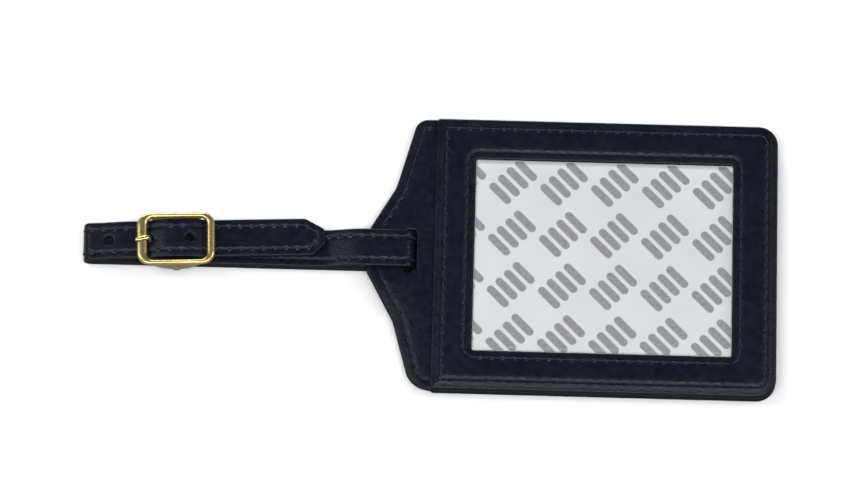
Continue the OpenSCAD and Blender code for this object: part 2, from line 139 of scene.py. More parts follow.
BODY = [(0, -HALF_W, STEP_CORNER_R), (BODY_LEN, -HALF_W, CORNER_R),
        (BODY_LEN, HALF_W, CORNER_R), (0, HALF_W, STEP_CORNER_R)]
WINDOW = grown(box_corners(LINER_LOW.x - STEP_X, LINER_HIGH.x - STEP_X, LINER_LOW.y, LINER_HIGH.y,
                           WINDOW_R - LINER_PLAY), LINER_PLAY)
REAR_WINDOW = grown(box_corners(VINYL_LOW.x - STEP_X, VINYL_HIGH.x - STEP_X, VINYL_LOW.y, VINYL_HIGH.y,
                                REAR_WINDOW_R + VINYL_OVERLAP), -VINYL_OVERLAP)

NECK_SHOULDER = 5.5
NECK_TOP_R = 3.5
NECK_LOW_R = 7.5
NECK_KINK = (11.2, 20, 8)
NECK_TIP = (STEP_X - PANEL_LOW.x, 5.9, 1.5)
NECK_OVERLAP = NECK_HIGH.x - STEP_X
NECK_SIDE = [(-NECK_SHOULDER, HALF_W, NECK_TOP_R), (-NECK_KINK[0], NECK_KINK[1], NECK_KINK[2]),
             (-NECK_TIP[0], NECK_TIP[1], NECK_TIP[2]), (-NECK_TIP[0], -NECK_TIP[1], NECK_TIP[2]),
             (-NECK_KINK[0], -NECK_KINK[1], NECK_KINK[2]), (-NECK_SHOULDER, -HALF_W, NECK_LOW_R)]
SLOT = box_corners(-8.4, -4.9, -6.05, 6.85, 1)
BACK_SLOT = box_corners(-8.4, -5.15, -5.4, 6.85, 1)
THUMB_NOTCH_R = 7
NOTCH_LIP_R = 0.5


def rounded_loop(corners, arcs, straights):
    """Points round the outline, with a set number on each corner's arc and each straight run."""
    count = len(corners)
    spots = [Vector(c[:2]) for c in corners]
    backs = [(spots[i - 1] - spots[i]).normalized() for i in range(count)]
    aheads = [(spots[(i + 1) % count] - spots[i]).normalized() for i in range(count)]
    halves = [back.angle(ahead) / 2 for back, ahead in zip(backs, aheads)]
    starts = [c[2] / math.tan(half) for c, half in zip(corners, halves)]
    fits = []
    for i in range(count):
        j = (i + 1) % count
        fits.append(min(1.0, ARC_SHARE * (spots[j] - spots[i]).length / (starts[i] + starts[j])))
    bends = []
    for i in range(count):
        here, back, ahead, half = spots[i], backs[i], aheads[i], halves[i]
        start = starts[i] * min(fits[i - 1], fits[i])
        middle = here + (back + ahead).normalized() * (start / math.cos(half))
        first = here + back * start - middle
        turn = (math.pi - 2 * half) * (1 if back.x * ahead.y - back.y * ahead.x < 0 else -1)
        steps = arcs[i]
        bends.append([middle + turned(first, turn * k / steps) for k in range(steps + 1)])
    loop = []
    for i, bend in enumerate(bends):
        loop += bend
        start, end = bend[-1], bends[(i + 1) % count][0]
        loop += [start.lerp(end, k / straights[i]) for k in range(1, straights[i])]
    return loop


def turned(point, angle):
    """The plan point turned about the origin."""
    c, s = math.cos(angle), math.sin(angle)
    return Vector((point.x * c - point.y * s, point.x * s + point.y * c))


# ---------- Leather plates ----------
# A profile is a list of (distance in from the cut edge, drop below the flat face).

SEAM_WIDTH = 0.5
STITCH_PITCH = 3.25
HOLE_DIP = 0.32
HOLE_REACH = 0.36
ROW_SPACING = 0.6
FACE_GRID = (1.6, 1.6)
HIDDEN_SPACING = 1.0
HIDDEN_GRID = (3, 3)
ARC_DENSITY = 1.5
ARC_MIN_STEPS = 4
SIDE_MIN_STEPS = 2
SWELL = 0.05
SWELL_RATE = (0.07, 0.09)
SWELL_LAYER = 3.1
NECK_DROOP = 1.5
DROOP_LEN = 12
DROOP_FROM = 7
DROOP_OVER = 18
FRAME_SAG = 0.3
SAG_FROM = 3.3
SAG_OVER = 8.5
# How sharply the sag turns a corner, where two sides are as near as each other.
CORNER_POWER = 4
WALL = [(0.2, 0.05), (0.5, 0.08), (0.8, 0.05)]
UNDER = [(0.0, 0.22), (0.12, 0.08), (0.35, 0.0)]


class Edge:
    """A cut edge of a plate: its outline, the faces' shape near it, and the seam that follows it."""

    def __init__(self, corners, profile, seam=None, hole=False, sewn=None, distance=None, under=UNDER,
                 spacing=ROW_SPACING):
        self.corners = corners
        self.profile = profile
        self.under = under
        self.seam = seam
        self.inward = 1 if hole else -1
        self.sewn = sewn or (lambda u, v: True)
        self.distance = distance or (lambda u, v, inset: inset)
        self.arcs = [max(ARC_MIN_STEPS, round(ARC_DENSITY * r / spacing)) for _, _, r in corners]
        sides = [math.dist(a[:2], b[:2]) for a, b in zip(corners, corners[1:] + corners[:1])]
        self.straights = [max(SIDE_MIN_STEPS, round(side / spacing)) for side in sides]
        if seam:
            self.seam_line = self.row(seam)
            ends = self.seam_line + [self.seam_line[0]]
            self.run = np.cumsum([0.0] + [(b - a).length for a, b in zip(ends, ends[1:])])
            self.stitches = round(self.run[-1] / STITCH_PITCH)
            self.pitch = self.run[-1] / self.stitches

    def row(self, inset):
        """The outline's points, this far in from the cut edge."""
        return rounded_loop(grown(self.corners, self.inward * inset), self.arcs, self.straights)

    def depth(self, away):
        """How far the profile lies below flat, this far from the cut edge."""
        return float(np.interp(away, *zip(*self.profile)))

    def drop(self, i, u, v, inset):
        """How far the face lies below flat at point i of the row that is this far in."""
        away = self.distance(u, v, inset)
        depth = self.depth(away)
        if self.seam and abs(away - self.seam) < SEAM_WIDTH and self.sewn(u, v):
            past = self.run[i] % self.pitch
            gap = min(past, self.pitch - past)
            depth += HOLE_DIP * math.exp(-(gap / HOLE_REACH) ** 2) * (1 - abs(away - self.seam) / SEAM_WIDTH)
        return depth

    def stitch_spots(self):
        """Places and directions of the stitches along the seam."""
        spots = []
        for k in range(self.stitches):
            at = (k + 0.5) * self.pitch
            i = int(np.searchsorted(self.run, at)) - 1
            a = self.seam_line[i]
            b = self.seam_line[(i + 1) % len(self.seam_line)]
            along = (b - a).normalized()
            spot = a + along * (at - self.run[i])
            if self.sewn(spot.x, spot.y):
                spots.append((spot.x, spot.y, along.x, along.y))
        return spots


# Points closer than this, in metres, become one.
WELD = 1e-6


class Shape:
    """Points in millimetres and faces, gathered into one mesh object."""

    def __init__(self):
        self.points = []
        self.faces = []
        self.kinds = []

    def row(self, points):
        """Adds points and gives their numbers."""
        first = len(self.points)
        self.points += [tuple(p) for p in points]
        return list(range(first, len(self.points)))

    def face(self, corners, kind=0):
        self.faces.append(tuple(corners))
        self.kinds.append(kind)

    def bridge(self, a, b, kind=0):
        """Joins two closed rows that have the same number of points."""
        count = len(a)
        for i in range(count):
            j = (i + 1) % count
            self.face((a[i], a[j], b[j], b[i]), kind)

    def loft(self, rows):
        """Joins closed rows into a solid with a cap at each end."""
        for a, b in zip(rows, rows[1:]):
            self.bridge(a, b)
        self.face(reversed(rows[0]))
        self.face(rows[-1])

    def build(self, name, materials, slot, body=None):
        """Makes the object and lets it ride on a body, if one is given. Its slot is not used."""
        mesh = bpy.data.meshes.new(name)
        mesh.from_pydata([Vector(p) * MM for p in self.points], [], self.faces)
        mesh.update()
        for material in materials:
            mesh.materials.append(material)
        mesh.polygons.foreach_set("material_index", self.kinds)
        solid = bmesh.new()
        solid.from_mesh(mesh)
        bmesh.ops.remove_doubles(solid, verts=solid.verts, dist=WELD)
        bmesh.ops.recalc_face_normals(solid, faces=solid.faces)
        solid.to_mesh(mesh)
        solid.free()
        mesh.polygons.foreach_set("use_smooth", [True] * len(mesh.polygons))
        piece = bpy.data.objects.new(name, mesh)
        bpy.context.scene.collection.objects.link(piece)
        if body:
            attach(piece, body)
        return piece


def inside(polygon, spots):
    """Which spots lie inside the polygon."""
    a = np.array(polygon)
    b = np.roll(a, -1, axis=0)
    x, y = spots[:, :1], spots[:, 1:]
    crosses = (a[:, 1] > y) != (b[:, 1] > y)
    rise = np.where(a[:, 1] == b[:, 1], 1.0, b[:, 1] - a[:, 1])
    at = a[:, 0] + (y - a[:, 1]) * (b[:, 0] - a[:, 0]) / rise
    return ((x < at) & crosses).sum(axis=1) % 2 == 1


# Plan points closer than this are one.
SAME_SPOT = 1e-6


def fill(shape, loops, plans, height, place, grid):
    """Triangulates the face between an outer loop and any holes, with a grid of points inside it."""
    low = np.min(plans[0], axis=0)
    high = np.max(plans[0], axis=0)
    spots = np.array([(u, v) for u in np.arange(low[0], high[0], grid[0])
                      for v in np.arange(low[1] + grid[1] / 2, high[1], grid[1])])
    keep = inside(plans[0], spots)
    for plan in plans[1:]:
        keep &= ~inside(plan, spots)
    spots = spots[keep]
    border = np.concatenate(plans)
    near = np.array([np.min(np.hypot(*(border - s).T)) for s in spots]) if len(spots) else np.zeros(0)
    spots = spots[near > min(grid) / 2]
    inner = shape.row([place(u, v, height(u, v)) for u, v in spots])
    coords = [Vector(p) for p in border] + [Vector(p) for p in spots]
    indices = [i for loop in loops for i in loop] + inner
    edges = []
    first = 0
    for loop in loops:
        edges += [(first + i, first + (i + 1) % len(loop)) for i in range(len(loop))]
        first += len(loop)
    out = delaunay_2d_cdt(coords, edges, [], 0, SAME_SPOT, True)
    flat = np.array([tuple(c) for c in out[0]])
    middles = np.array([flat[list(f)].mean(axis=0) for f in out[2]])
    keep = inside(plans[0], middles)
    for plan in plans[1:]:
        keep &= ~inside(plan, middles)
    for f, kept in zip(out[2], keep):
        if kept:
            shape.face([indices[out[3][k][0]] for k in f])


def swell(u, v):
    """The slow unevenness of a leather face."""
    return SWELL * noise.noise(Vector((u * SWELL_RATE[0], v * SWELL_RATE[1], SWELL_LAYER)))


def plate(shape, edges, top, place, grid=FACE_GRID, wall=WALL, wall_kind=1, face=swell):
    """A closed plate from height 0 to top, whose first edge is the outer one and whose others are holes."""
    top_loops, top_plans, base_loops, base_plans = [], [], [], []
    for number, edge in enumerate(edges):
        kind = wall_kind if number == 0 else wall_kind + 1
        rows = []
        for inset, rise in reversed(edge.under):
            plan = edge.row(inset)
            rows.append(shape.row([place(p.x, p.y, rise) for p in plan]))
            if len(rows) == 1:
                base_plans.append([tuple(p) for p in plan])
        rim = edge.row(0)
        rim_rise = edge.under[0][1]
        rims = [top - edge.drop(i, p.x, p.y, 0) + face(p.x, p.y) for i, p in enumerate(rim)]
        walls = []
        for part, bulge in wall:
            plan = edge.row(-bulge)
            walls.append(shape.row([place(p.x, p.y, rim_rise + (h - rim_rise) * part)
                                    for p, h in zip(plan, rims)]))
        tops = []
        for inset, _ in edge.profile:
            plan = edge.row(inset)
            tops.append(shape.row([place(p.x, p.y, top - edge.drop(i, p.x, p.y, inset) + face(p.x, p.y))
                                   for i, p in enumerate(plan)]))
        top_plans.append([tuple(p) for p in plan])
        for a, b in zip(rows, rows[1:]):
            shape.bridge(a, b)
        for a, b in zip([rows[-1]] + walls, walls + [tops[0]]):
            shape.bridge(a, b, kind)
        for a, b in zip(tops, tops[1:]):
            shape.bridge(a, b)
        top_loops.append(tops[-1])
        base_loops.append(rows[0])
    fill(shape, top_loops, top_plans, lambda u, v: top + face(u, v), place, grid)
    fill(shape, base_loops, base_plans, lambda u, v: 0.0, place, (grid[0] * 2, grid[1] * 2))


def flat_at(z, up=1):
    """Places a plate on the level z, facing up or down."""
    return lambda u, v, h: (STEP_X + u, v, z + up * h)


def smooth(t):
    """A ramp from 0 to 1 that is level at both ends."""
    t = min(1.0, max(0.0, t))
    return t * t * (3 - 2 * t)


def neck_at(z, up=1):
    """Places a neck plate on the level z, with its free wings hanging a little beside the strap."""
    def place(u, v, h):
        droop = NECK_DROOP * smooth(-u / DROOP_LEN) * smooth((abs(v) - DROOP_FROM) / DROOP_OVER)
        return STEP_X + u, v, z + up * h - droop
    return place


# ---------- Thread ----------

STITCH_LEN = 2.45
THREAD_R = 0.27
THREAD_LIFT = 0.1
THREAD_DIVE = 0.42
THREAD_TWIST = 5.0
THREAD_LOBE = 0.13
THREAD_TAPER = 0.3
THREAD_RINGS = 7
THREAD_SIDES = 8
REST_GAP = 0.02
LOOK_AHEAD = 0.05
LOOK_UP = 0.1


def stitch(shape, u, v, du, dv, height, place, length=STITCH_LEN):
    """One twisted thread segment from hole to hole, pressed flat where the tag rests on it."""
    rings = []
    for k in range(THREAD_RINGS):
        t = 2 * k / (THREAD_RINGS - 1) - 1
        at = t * length / 2
        h = height + THREAD_LIFT - THREAD_DIVE * t ** 4
        here = Vector(place(u + du * at, v + dv * at, h))
        ahead = Vector(place(u + du * (at + LOOK_AHEAD), v + dv * (at + LOOK_AHEAD),
                             h - 4 * LOOK_AHEAD * THREAD_DIVE * t ** 3))
        above = Vector(place(u + du * at, v + dv * at, h + LOOK_UP))
        along = (ahead - here).normalized()
        side = along.cross(above - here).normalized()
        up = side.cross(along)
        taper = 1 - THREAD_TAPER * t ** 6
        ring = []
        for j in range(THREAD_SIDES):
            a = 2 * math.pi * j / THREAD_SIDES
            r = THREAD_R * taper * (1 + THREAD_LOBE * math.cos(2 * a - THREAD_TWIST * t))
            spot = here + side * (r * math.cos(a)) + up * (r * math.sin(a))
            spot.z = max(spot.z, REST_GAP)
            ring.append(spot)
        rings.append(shape.row(ring))
    shape.loft(rings)


def sew(shape, edge, top, place, face=swell):
    """All the stitches of an edge's seam."""
    groove = edge.depth(edge.seam)
    for u, v, du, dv in edge.stitch_spots():
        stitch(shape, u, v, du, dv, top - groove + face(u, v), place)


# ---------- Materials ----------

# The Mix node's sockets for its share and two colours.
MIX_SHARE, MIX_A, MIX_B = 0, 6, 7


class Paint:
    """A material with short ways to add nodes and join them."""

    def __init__(self, name, **constants):
        self.material = bpy.data.materials.new(name)
        self.material.use_nodes = True
        self.tree = self.material.node_tree
        self.shader = self.tree.nodes["Principled BSDF"]
        self.spot = self.add("TexCoord").outputs["Object"]
        for key, value in constants.items():
            self.shader.inputs[key.replace("_", " ")].default_value = value

    def add(self, kind, sockets=None, **settings):
        """A new node, with its sockets set or linked."""
        made = self.tree.nodes.new("ShaderNode" + kind)
        for key, value in settings.items():
            setattr(made, key, value)
        for key, value in (sockets or {}).items():
            self.join(value, made.inputs[key])
        return made

    def join(self, value, socket):
        """Links another node's output to the socket, or sets a plain value on it."""
        if isinstance(value, bpy.types.NodeSocket):
            self.tree.links.new(value, socket)
        else:
            socket.default_value = value

    def noise(self, size, detail=2.0, stretch=None):
        """Noise whose features are about this many millimetres across."""
        where = self.spot
        if stretch:
            where = self.add("Mapping", {"Vector": self.spot, "Scale": stretch}).outputs[0]
        sockets = {"Vector": where, "Scale": 1 / (size * MM), "Detail": detail}
        return self.add("TexNoise", sockets).outputs[0]

    def cells(self, size):
        """Distance to the middle of cells that are about this many millimetres across."""
        return self.add("TexVoronoi", {"Vector": self.spot, "Scale": 1 / (size * MM)}).outputs[0]

    def calc(self, operation, a, b=0.0):
        """A sum done by a node."""
        return self.add("Math", {0: a, 1: b}, operation=operation).outputs[0]

    def between(self, value, low, high, out_low, out_high):
        """The value's place between low and high, carried over to the other two numbers."""
        sockets = {"Value": value, "From Min": low, "From Max": high, "To Min": out_low, "To Max": out_high}
        return self.add("MapRange", sockets).outputs[0]

    def mix(self, share, a, b):
        """Colour a where the share is 0, and colour b where it is 1."""
        made = self.add("Mix", data_type="RGBA")
        for value, number in ((share, MIX_SHARE), (a, MIX_A), (b, MIX_B)):
            self.join(value if not isinstance(value, tuple) else (*value, 1.0), made.inputs[number])
        return made.outputs[2]

    def bump(self, height, depth, strength=1.0, below=None):
        """A bump whose full height is this many millimetres."""
        sockets = {"Height": height, "Distance": depth * MM, "Strength": strength}
        if below:
            sockets["Normal"] = below
        return self.add("Bump", sockets).outputs[0]

    def finish(self, colour, rough, normal=None):
        """Links the surface's colour, roughness and bump, and gives the material."""
        for value, name in ((colour, "Base Color"), (rough, "Roughness"), (normal, "Normal")):
            if value is not None:
                self.join(value, self.shader.inputs[name])
        return self.material


def leather(name, deep, pale, grain, rough, level):
    """Grained leather: pebbles, fine pores, and slow changes of tone and gloss."""
    p = Paint(name, Specular_IOR_Level=level)
    pebbles = p.cells(grain)
    fine = p.noise(grain / 3, 3.0)
    slow = p.noise(9, 3.0)
    worn = p.noise(2.2, 4.0)
    colour = p.mix(p.between(slow, 0.35, 0.7, 0.0, 1.0), deep, pale)
    colour = p.mix(p.between(pebbles, 0.35, 0.75, 0.0, 0.55), colour, deep)
    gloss = p.between(worn, 0.3, 0.7, rough - 0.07, rough + 0.09)
    bumps = p.bump(fine, 0.03, 0.5, p.bump(pebbles, 0.06, 0.7))
    return p.finish(colour, gloss, bumps)


def edge_paint(name, deep, pale):
    """The painted, burnished cut edge of leather, with faint streaks along its layers."""
    p = Paint(name, Specular_IOR_Level=0.1)
    streaks = p.noise(1.2, 3.0, (0.25, 0.25, 3.0))
    colour = p.mix(streaks, deep, pale)
    return p.finish(colour, p.between(streaks, 0.3, 0.7, 0.6, 0.8), p.bump(streaks, 0.06, 0.6))


def raw_edge(name, deep, pale):
    """The bare brown flesh inside a punched hole."""
    p = Paint(name, Specular_IOR_Level=0.2)
    fibres = p.noise(0.3, 4.0)
    return p.finish(p.mix(fibres, deep, pale), 0.85, p.bump(fibres, 0.08))


def thread_paint(name, deep, pale):
    """Waxed thread, with fine fibres and a slow change of tone."""
    p = Paint(name, Specular_IOR_Level=0.2)
    fibres = p.noise(0.12, 3.0)
    tone = p.noise(5.0, 2.0)
    rough = p.between(fibres, 0.3, 0.7, 0.5, 0.75)
    return p.finish(p.mix(tone, deep, pale), rough, p.bump(fibres, 0.05, 0.8))


def brass(name, clean, dull, side_shade_colour):
    """Lightly worn brass: soft scratches, duller patches, and painted shade that darkens and browns the steep
    sides.
    """
    p = Paint(name, Specular_IOR_Level=0.1)
    facing = p.calc("ABSOLUTE", p.add("SeparateXYZ", {0: p.add("TexCoord").outputs["Normal"]}).outputs[2])
    patches = p.noise(3.0, 4.0)
    scratches = p.noise(0.5, 2.0, (0.15, 2.5, 1.0))
    colour = p.mix(p.between(patches, 0.35, 0.7, 0.0, 1.0), clean, dull)
    # Painted shade: where the surface faces sideways, the colour turns dark brown, and the brass grows less
    # metallic and rougher.
    side_shade_mask = p.between(facing, 0.15, 0.75, 1.0, 0.0)
    colour = p.mix(side_shade_mask, colour, side_shade_colour)
    p.join(p.between(side_shade_mask, 0.0, 1.0, 1.0, 0.3), p.shader.inputs["Metallic"])
    dents = p.noise(4.0, 1.0)
    rough = p.calc("ADD", p.between(patches, 0.3, 0.7, 0.20, 0.30), p.between(scratches, 0.3, 0.7, 0.0, 0.06))
    rough = p.calc("ADD", rough, p.between(side_shade_mask, 0.0, 1.0, 0.0, 0.15))
    return p.finish(colour, rough, p.bump(scratches, 0.002, 0.4, p.bump(dents, 0.01, 0.5)))


def paper(name, deep, pale, rough):
    """The start of a paper: its material, ground colour, roughness and bump."""
    p = Paint(name, Specular_IOR_Level=0.3)
    fibres = p.noise(0.25, 4.0)
    colour = p.mix(p.noise(12, 3.0), deep, pale)
    return p, colour, p.between(fibres, 0.3, 0.7, rough - 0.06, rough + 0.06), p.bump(fibres, 0.01, 0.4)


# The print repeats at this pitch along X and Y; each group's bars lie across its diagonal.
PRINT_PITCH = (14.6, 15.5)
PRINT_ORIGIN = (3.2, -1.2)
PRINT_BARS = 4
BAR_PITCH = 3.4
BAR_HALF_LEN = 2.9
BAR_HALF_W = 1.15
PRINT_SOFT = 0.12
INK = (0.205, 0.207, 0.210)


def liner_paint():
    """Coated liner paper with a plain repeat print: groups of slanted round-ended bars."""
    p, ground, rough, bumps = paper("liner_paper", (0.51, 0.52, 0.535), (0.59, 0.60, 0.605), 0.4)
    apart = p.add("SeparateXYZ", {0: p.spot})
    local = []
    for axis, start in enumerate((LINER_LOW.x + PRINT_ORIGIN[0], PRINT_ORIGIN[1])):
        shifted = p.calc("SUBTRACT", apart.outputs[axis], start * MM)
        cell = p.calc("FRACT", p.calc("DIVIDE", shifted, PRINT_PITCH[axis] * MM))
        local.append(p.calc("MULTIPLY", p.calc("SUBTRACT", cell, 0.5), PRINT_PITCH[axis]))
    diagonal = math.sqrt(0.5)
    along = p.calc("MULTIPLY", p.calc("ADD", local[0], local[1]), diagonal)
    across = p.calc("MULTIPLY", p.calc("SUBTRACT", local[1], local[0]), diagonal)
    last = (PRINT_BARS - 1) / 2 * BAR_PITCH
    number = p.calc("FLOOR", p.calc("DIVIDE", p.calc("ADD", along, last + BAR_PITCH / 2), BAR_PITCH))
    nearest = p.calc("SUBTRACT", p.calc("MULTIPLY", number, BAR_PITCH), last)
    nearest = p.calc("MINIMUM", p.calc("MAXIMUM", nearest, -last), last)
    off_bar = p.calc("SUBTRACT", along, nearest)
    past_end = p.calc("MAXIMUM", p.calc("SUBTRACT", p.calc("ABSOLUTE", across), BAR_HALF_LEN), 0.0)
    reach = p.calc("SQRT", p.calc("ADD", p.calc("POWER", p.calc("ABSOLUTE", off_bar), 2.0),
                                  p.calc("POWER", past_end, 2.0)))
    ink = p.between(reach, BAR_HALF_W - PRINT_SOFT, BAR_HALF_W + PRINT_SOFT, 1.0, 0.0)
    ink = p.calc("MULTIPLY", ink, p.between(p.noise(0.8, 3.0), 0.3, 0.6, 0.82, 1.0))
    return p.finish(p.mix(ink, ground, INK), rough, bumps)


CARD_LINE_PITCH = 9.0
CARD_LINE_W = 0.35
CARD_LINE_SOFT = 0.1
CARD_LINE_INK = (0.20, 0.22, 0.27)


def card_paint():
    """Plain card with ruled lines to write on."""
    p, ground, rough, bumps = paper("card_stock", (0.52, 0.51, 0.46), (0.60, 0.59, 0.54), 0.6)
    height = p.add("SeparateXYZ", {0: p.spot}).outputs[1]
    cell = p.calc("FRACT", p.calc("DIVIDE", height, CARD_LINE_PITCH * MM))
    off = p.calc("MULTIPLY", p.calc("ABSOLUTE", p.calc("SUBTRACT", cell, 0.5)), CARD_LINE_PITCH)
    line = p.between(off, CARD_LINE_W / 2, CARD_LINE_W / 2 + CARD_LINE_SOFT, 1.0, 0.0)
    return p.finish(p.mix(line, ground, CARD_LINE_INK), rough, bumps)


def vinyl_paint():
    """Clear vinyl with slow waves."""
    p = Paint("clear_vinyl", Transmission_Weight=1.0, IOR=1.45)
    waves = p.noise(8, 2.0)
    tint = p.mix(waves, (0.93, 0.96, 0.97), (0.97, 0.98, 0.98))
    return p.finish(tint, p.between(waves, 0.3, 0.7, 0.04, 0.10), p.bump(waves, 0.15, 0.3))


def plain_paper(name, deep, pale, rough):
    """Paper, board or film with nothing printed on it."""
    p, colour, gloss, bumps = paper(name, deep, pale, rough)
    return p.finish(colour, gloss, bumps)


BODY_LEATHER = leather("body_leather", (0.0023, 0.0041, 0.0092), (0.0048, 0.0066, 0.0140), 0.75, 0.31, 0.17)
STRAP_LEATHER = leather("strap_leather", (0.0026, 0.0040, 0.0094), (0.0055, 0.0068, 0.0145), 0.6, 0.30, 0.18)
LINING_LEATHER = leather("lining_leather", (0.0050, 0.0060, 0.0110), (0.0090, 0.0100, 0.0170), 0.5, 0.6, 0.15)
EDGE_PAINT = edge_paint("edge_paint", (0.0015, 0.0018, 0.0030), (0.0040, 0.0045, 0.0070))
RAW_EDGE = raw_edge("raw_edge", (0.012, 0.007, 0.006), (0.045, 0.020, 0.014))
THREAD = thread_paint("waxed_thread", (0.008, 0.013, 0.021), (0.018, 0.026, 0.036))
# The third colour is painted shade: the dark brown that the brass's steep sides take.
BRASS = brass("worn_and_side_shaded_brass", (0.70, 0.54, 0.23), (0.50, 0.38, 0.16), (0.17, 0.11, 0.05))
# A leather piece's materials are its faces, its cut edge, and the walls of its holes.
LEATHER_SET = [BODY_LEATHER, EDGE_PAINT, EDGE_PAINT]
STRAP_SET = [STRAP_LEATHER, EDGE_PAINT, RAW_EDGE]
LINING_SET = [LINING_LEATHER, EDGE_PAINT, RAW_EDGE]

# ---------- Body ----------

FRAME_SEAM = 2.9
WINDOW_SEAM = 2.25
NECK_SEAM = 2.7
REAR_SEAM = 2.6
FRAME_PROFILE = [(0.0, 0.95), (0.06, 0.76), (0.2, 0.64), (0.5, 0.57), (0.9, 0.53), (1.5, 0.40), (2.1, 0.26),
                 (2.45, 0.20), (2.7, 0.22), (2.9, 0.25), (3.15, 0.20), (3.5, 0.10), (4.0, 0.02), (4.8, -0.02)]
WINDOW_PROFILE = [(0.0, 0.62), (0.06, 0.45), (0.2, 0.33), (0.5, 0.28), (1.0, 0.24), (1.5, 0.19), (1.8, 0.17),
                  (2.05, 0.19), (2.25, 0.22), (2.5, 0.17), (2.85, 0.08), (3.3, 0.01), (3.9, -0.02)]
NECK_PROFILE = [(0.0, 0.55), (0.06, 0.40), (0.2, 0.28), (0.5, 0.22), (1.2, 0.18), (2.0, 0.13), (2.3, 0.12),
                (2.5, 0.15), (2.7, 0.19), (2.95, 0.15), (3.3, 0.07), (3.9, 0.0)]
REAR_PROFILE = [(0.0, 0.45), (0.06, 0.30), (0.2, 0.18), (0.6, 0.10), (1.5, 0.06), (2.2, 0.05), (2.4, 0.12),
                (2.6, 0.20), (2.8, 0.12), (3.2, 0.0)]
CUT_PROFILE = [(0.0, 0.28), (0.06, 0.16), (0.2, 0.06), (0.5, 0.0)]
THIN_RIM = [(0.0, 0.1), (0.1, 0.0)]
PLY_GAP = 0.02
BACK_GRID = (2.5, 2.5)
POCKET_PLAY = 0.5
POCKET_R = 1
NECK_SEAM_START = -0.9
NECK_SEAM_END = 7.8


def on_neck(u, v):
    """Where the neck's seam is sewn: between the frame's step and the strap."""
    return u < NECK_SEAM_START and abs(v) > NECK_SEAM_END


def neck_distance(u, v, inset):
    """The neck's end under the frame is not an edge, so only its sides count there."""
    return inset if u < -NECK_OVERLAP else HALF_W - abs(v)


def closed_side(u, v):
    """Where the rear frame's own edge is sewn: everywhere but along the pocket's open side."""
    return v < HALF_W - 2 * REAR_SEAM


def frame_face(u, v):
    """The frame's face sinks a little from its edge seam towards the window."""
    to_sides = (u, BODY_LEN - u, HALF_W - v, HALF_W + v)
    inset = sum(max(d, SHARP) ** -CORNER_POWER for d in to_sides) ** (-1 / CORNER_POWER)
    return swell(u, v) - FRAME_SAG * min(1.0, max(0.0, (inset - SAG_FROM) / SAG_OVER))


def body_thread(name, edges, top, place, face=swell):
    """The thread of the edges' seams, as one piece that rides on the tag's body."""
    thread = Shape()
    for edge in edges:
        sew(thread, edge, top, place, face)
    return thread.build(name, [THREAD], "thread", "tag_body")


def make_front_frame():
    """The frame's face lies over the board and the adhesive sheet, and a U-shaped rim closes their sides."""
    outer = Edge(BODY, FRAME_PROFILE, FRAME_SEAM)
    window = Edge(WINDOW, WINDOW_PROFILE, WINDOW_SEAM, hole=True)
    place = flat_at(BOARD_TOP)
    top = FRAME_HIGH.z - BOARD_TOP
    shape = Shape()
    plate(shape, [outer, window], top, place, face=frame_face)
    far, side = BODY_LEN - BOARD_INSET, HALF_W - BOARD_INSET
    rim = [(BOARD_INSET, -HALF_W, SHARP)] + BODY[1:3] + [
        (BOARD_INSET, HALF_W, SHARP), (BOARD_INSET, side, SHARP), (far, side, BOARD_R), (far, -side, BOARD_R),
        (BOARD_INSET, -side, SHARP)]
    plate(shape, [Edge(rim, THIN_RIM, under=THIN_RIM, spacing=HIDDEN_SPACING)],
          BOARD_TOP - FRAME_LOW.z - PLY_GAP, flat_at(FRAME_LOW.z), grid=HIDDEN_GRID)
    piece = shape.build("front_frame_leather", LEATHER_SET, "leather", "tag_body")
    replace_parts(piece, "front_frame")
    for edge, name, node in ((outer, "front_edge_thread", "front_edge_stitching"),
                             (window, "front_window_thread", "front_window_stitching")):
        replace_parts(body_thread(name, [edge], top, place, frame_face), node)


def make_neck():
    """The neck's facing, with its slot; its end runs under the frame."""
    corners = [(NECK_OVERLAP, -HALF_W, SHARP), (NECK_OVERLAP, HALF_W, SHARP)] + NECK_SIDE
    edge = Edge(corners, NECK_PROFILE, NECK_SEAM, sewn=on_neck, distance=neck_distance)
    slot = Edge(SLOT, CUT_PROFILE, hole=True)
    place = neck_at(NECK_LOW.z)
    top = NECK_HIGH.z - NECK_LOW.z
    shape = Shape()
    plate(shape, [edge, slot], top, place)
    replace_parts(shape.build("neck_leather", LEATHER_SET, "leather", "tag_body"), "neck_facing")
    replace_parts(body_thread("neck_thread", [edge], top, place), "neck_stitching")


def make_back_panel():
    """The back leather: its neck plate faces down, and a U under the body closes the pocket's three sides."""
    corners = [(BODY_LEN, -HALF_W, CORNER_R), (BODY_LEN, HALF_W, CORNER_R)] + NECK_SIDE
    slot = Edge(BACK_SLOT, CUT_PROFILE, hole=True)
    shape = Shape()
    thick = PANEL_HIGH.z - NECK_PANEL_Z
    place = neck_at(PANEL_HIGH.z, -1)
    edge = Edge(corners, NECK_PROFILE, NECK_SEAM, sewn=on_neck)
    plate(shape, [edge, slot], thick, place, grid=BACK_GRID)
    u0, u1 = CARD_LOW.x - STEP_X - POCKET_PLAY, CARD_HIGH.x - STEP_X + POCKET_PLAY
    v0 = CARD_LOW.y - POCKET_PLAY
    mouth = [(u1, HALF_W, SHARP), (u1, v0, POCKET_R), (u0, v0, POCKET_R), (u0, HALF_W, SHARP)]
    rim = BODY[:3] + mouth + BODY[3:]
    plate(shape, [Edge(rim, THIN_RIM, under=THIN_RIM, spacing=HIDDEN_SPACING)], NECK_PANEL_Z - PANEL_LOW.z,
          flat_at(NECK_PANEL_Z, -1), grid=HIDDEN_GRID)
    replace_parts(shape.build("back_leather", LEATHER_SET, "leather", "tag_body"), "back_panel")
    body_thread("neck_back_thread", [edge], thick, place)


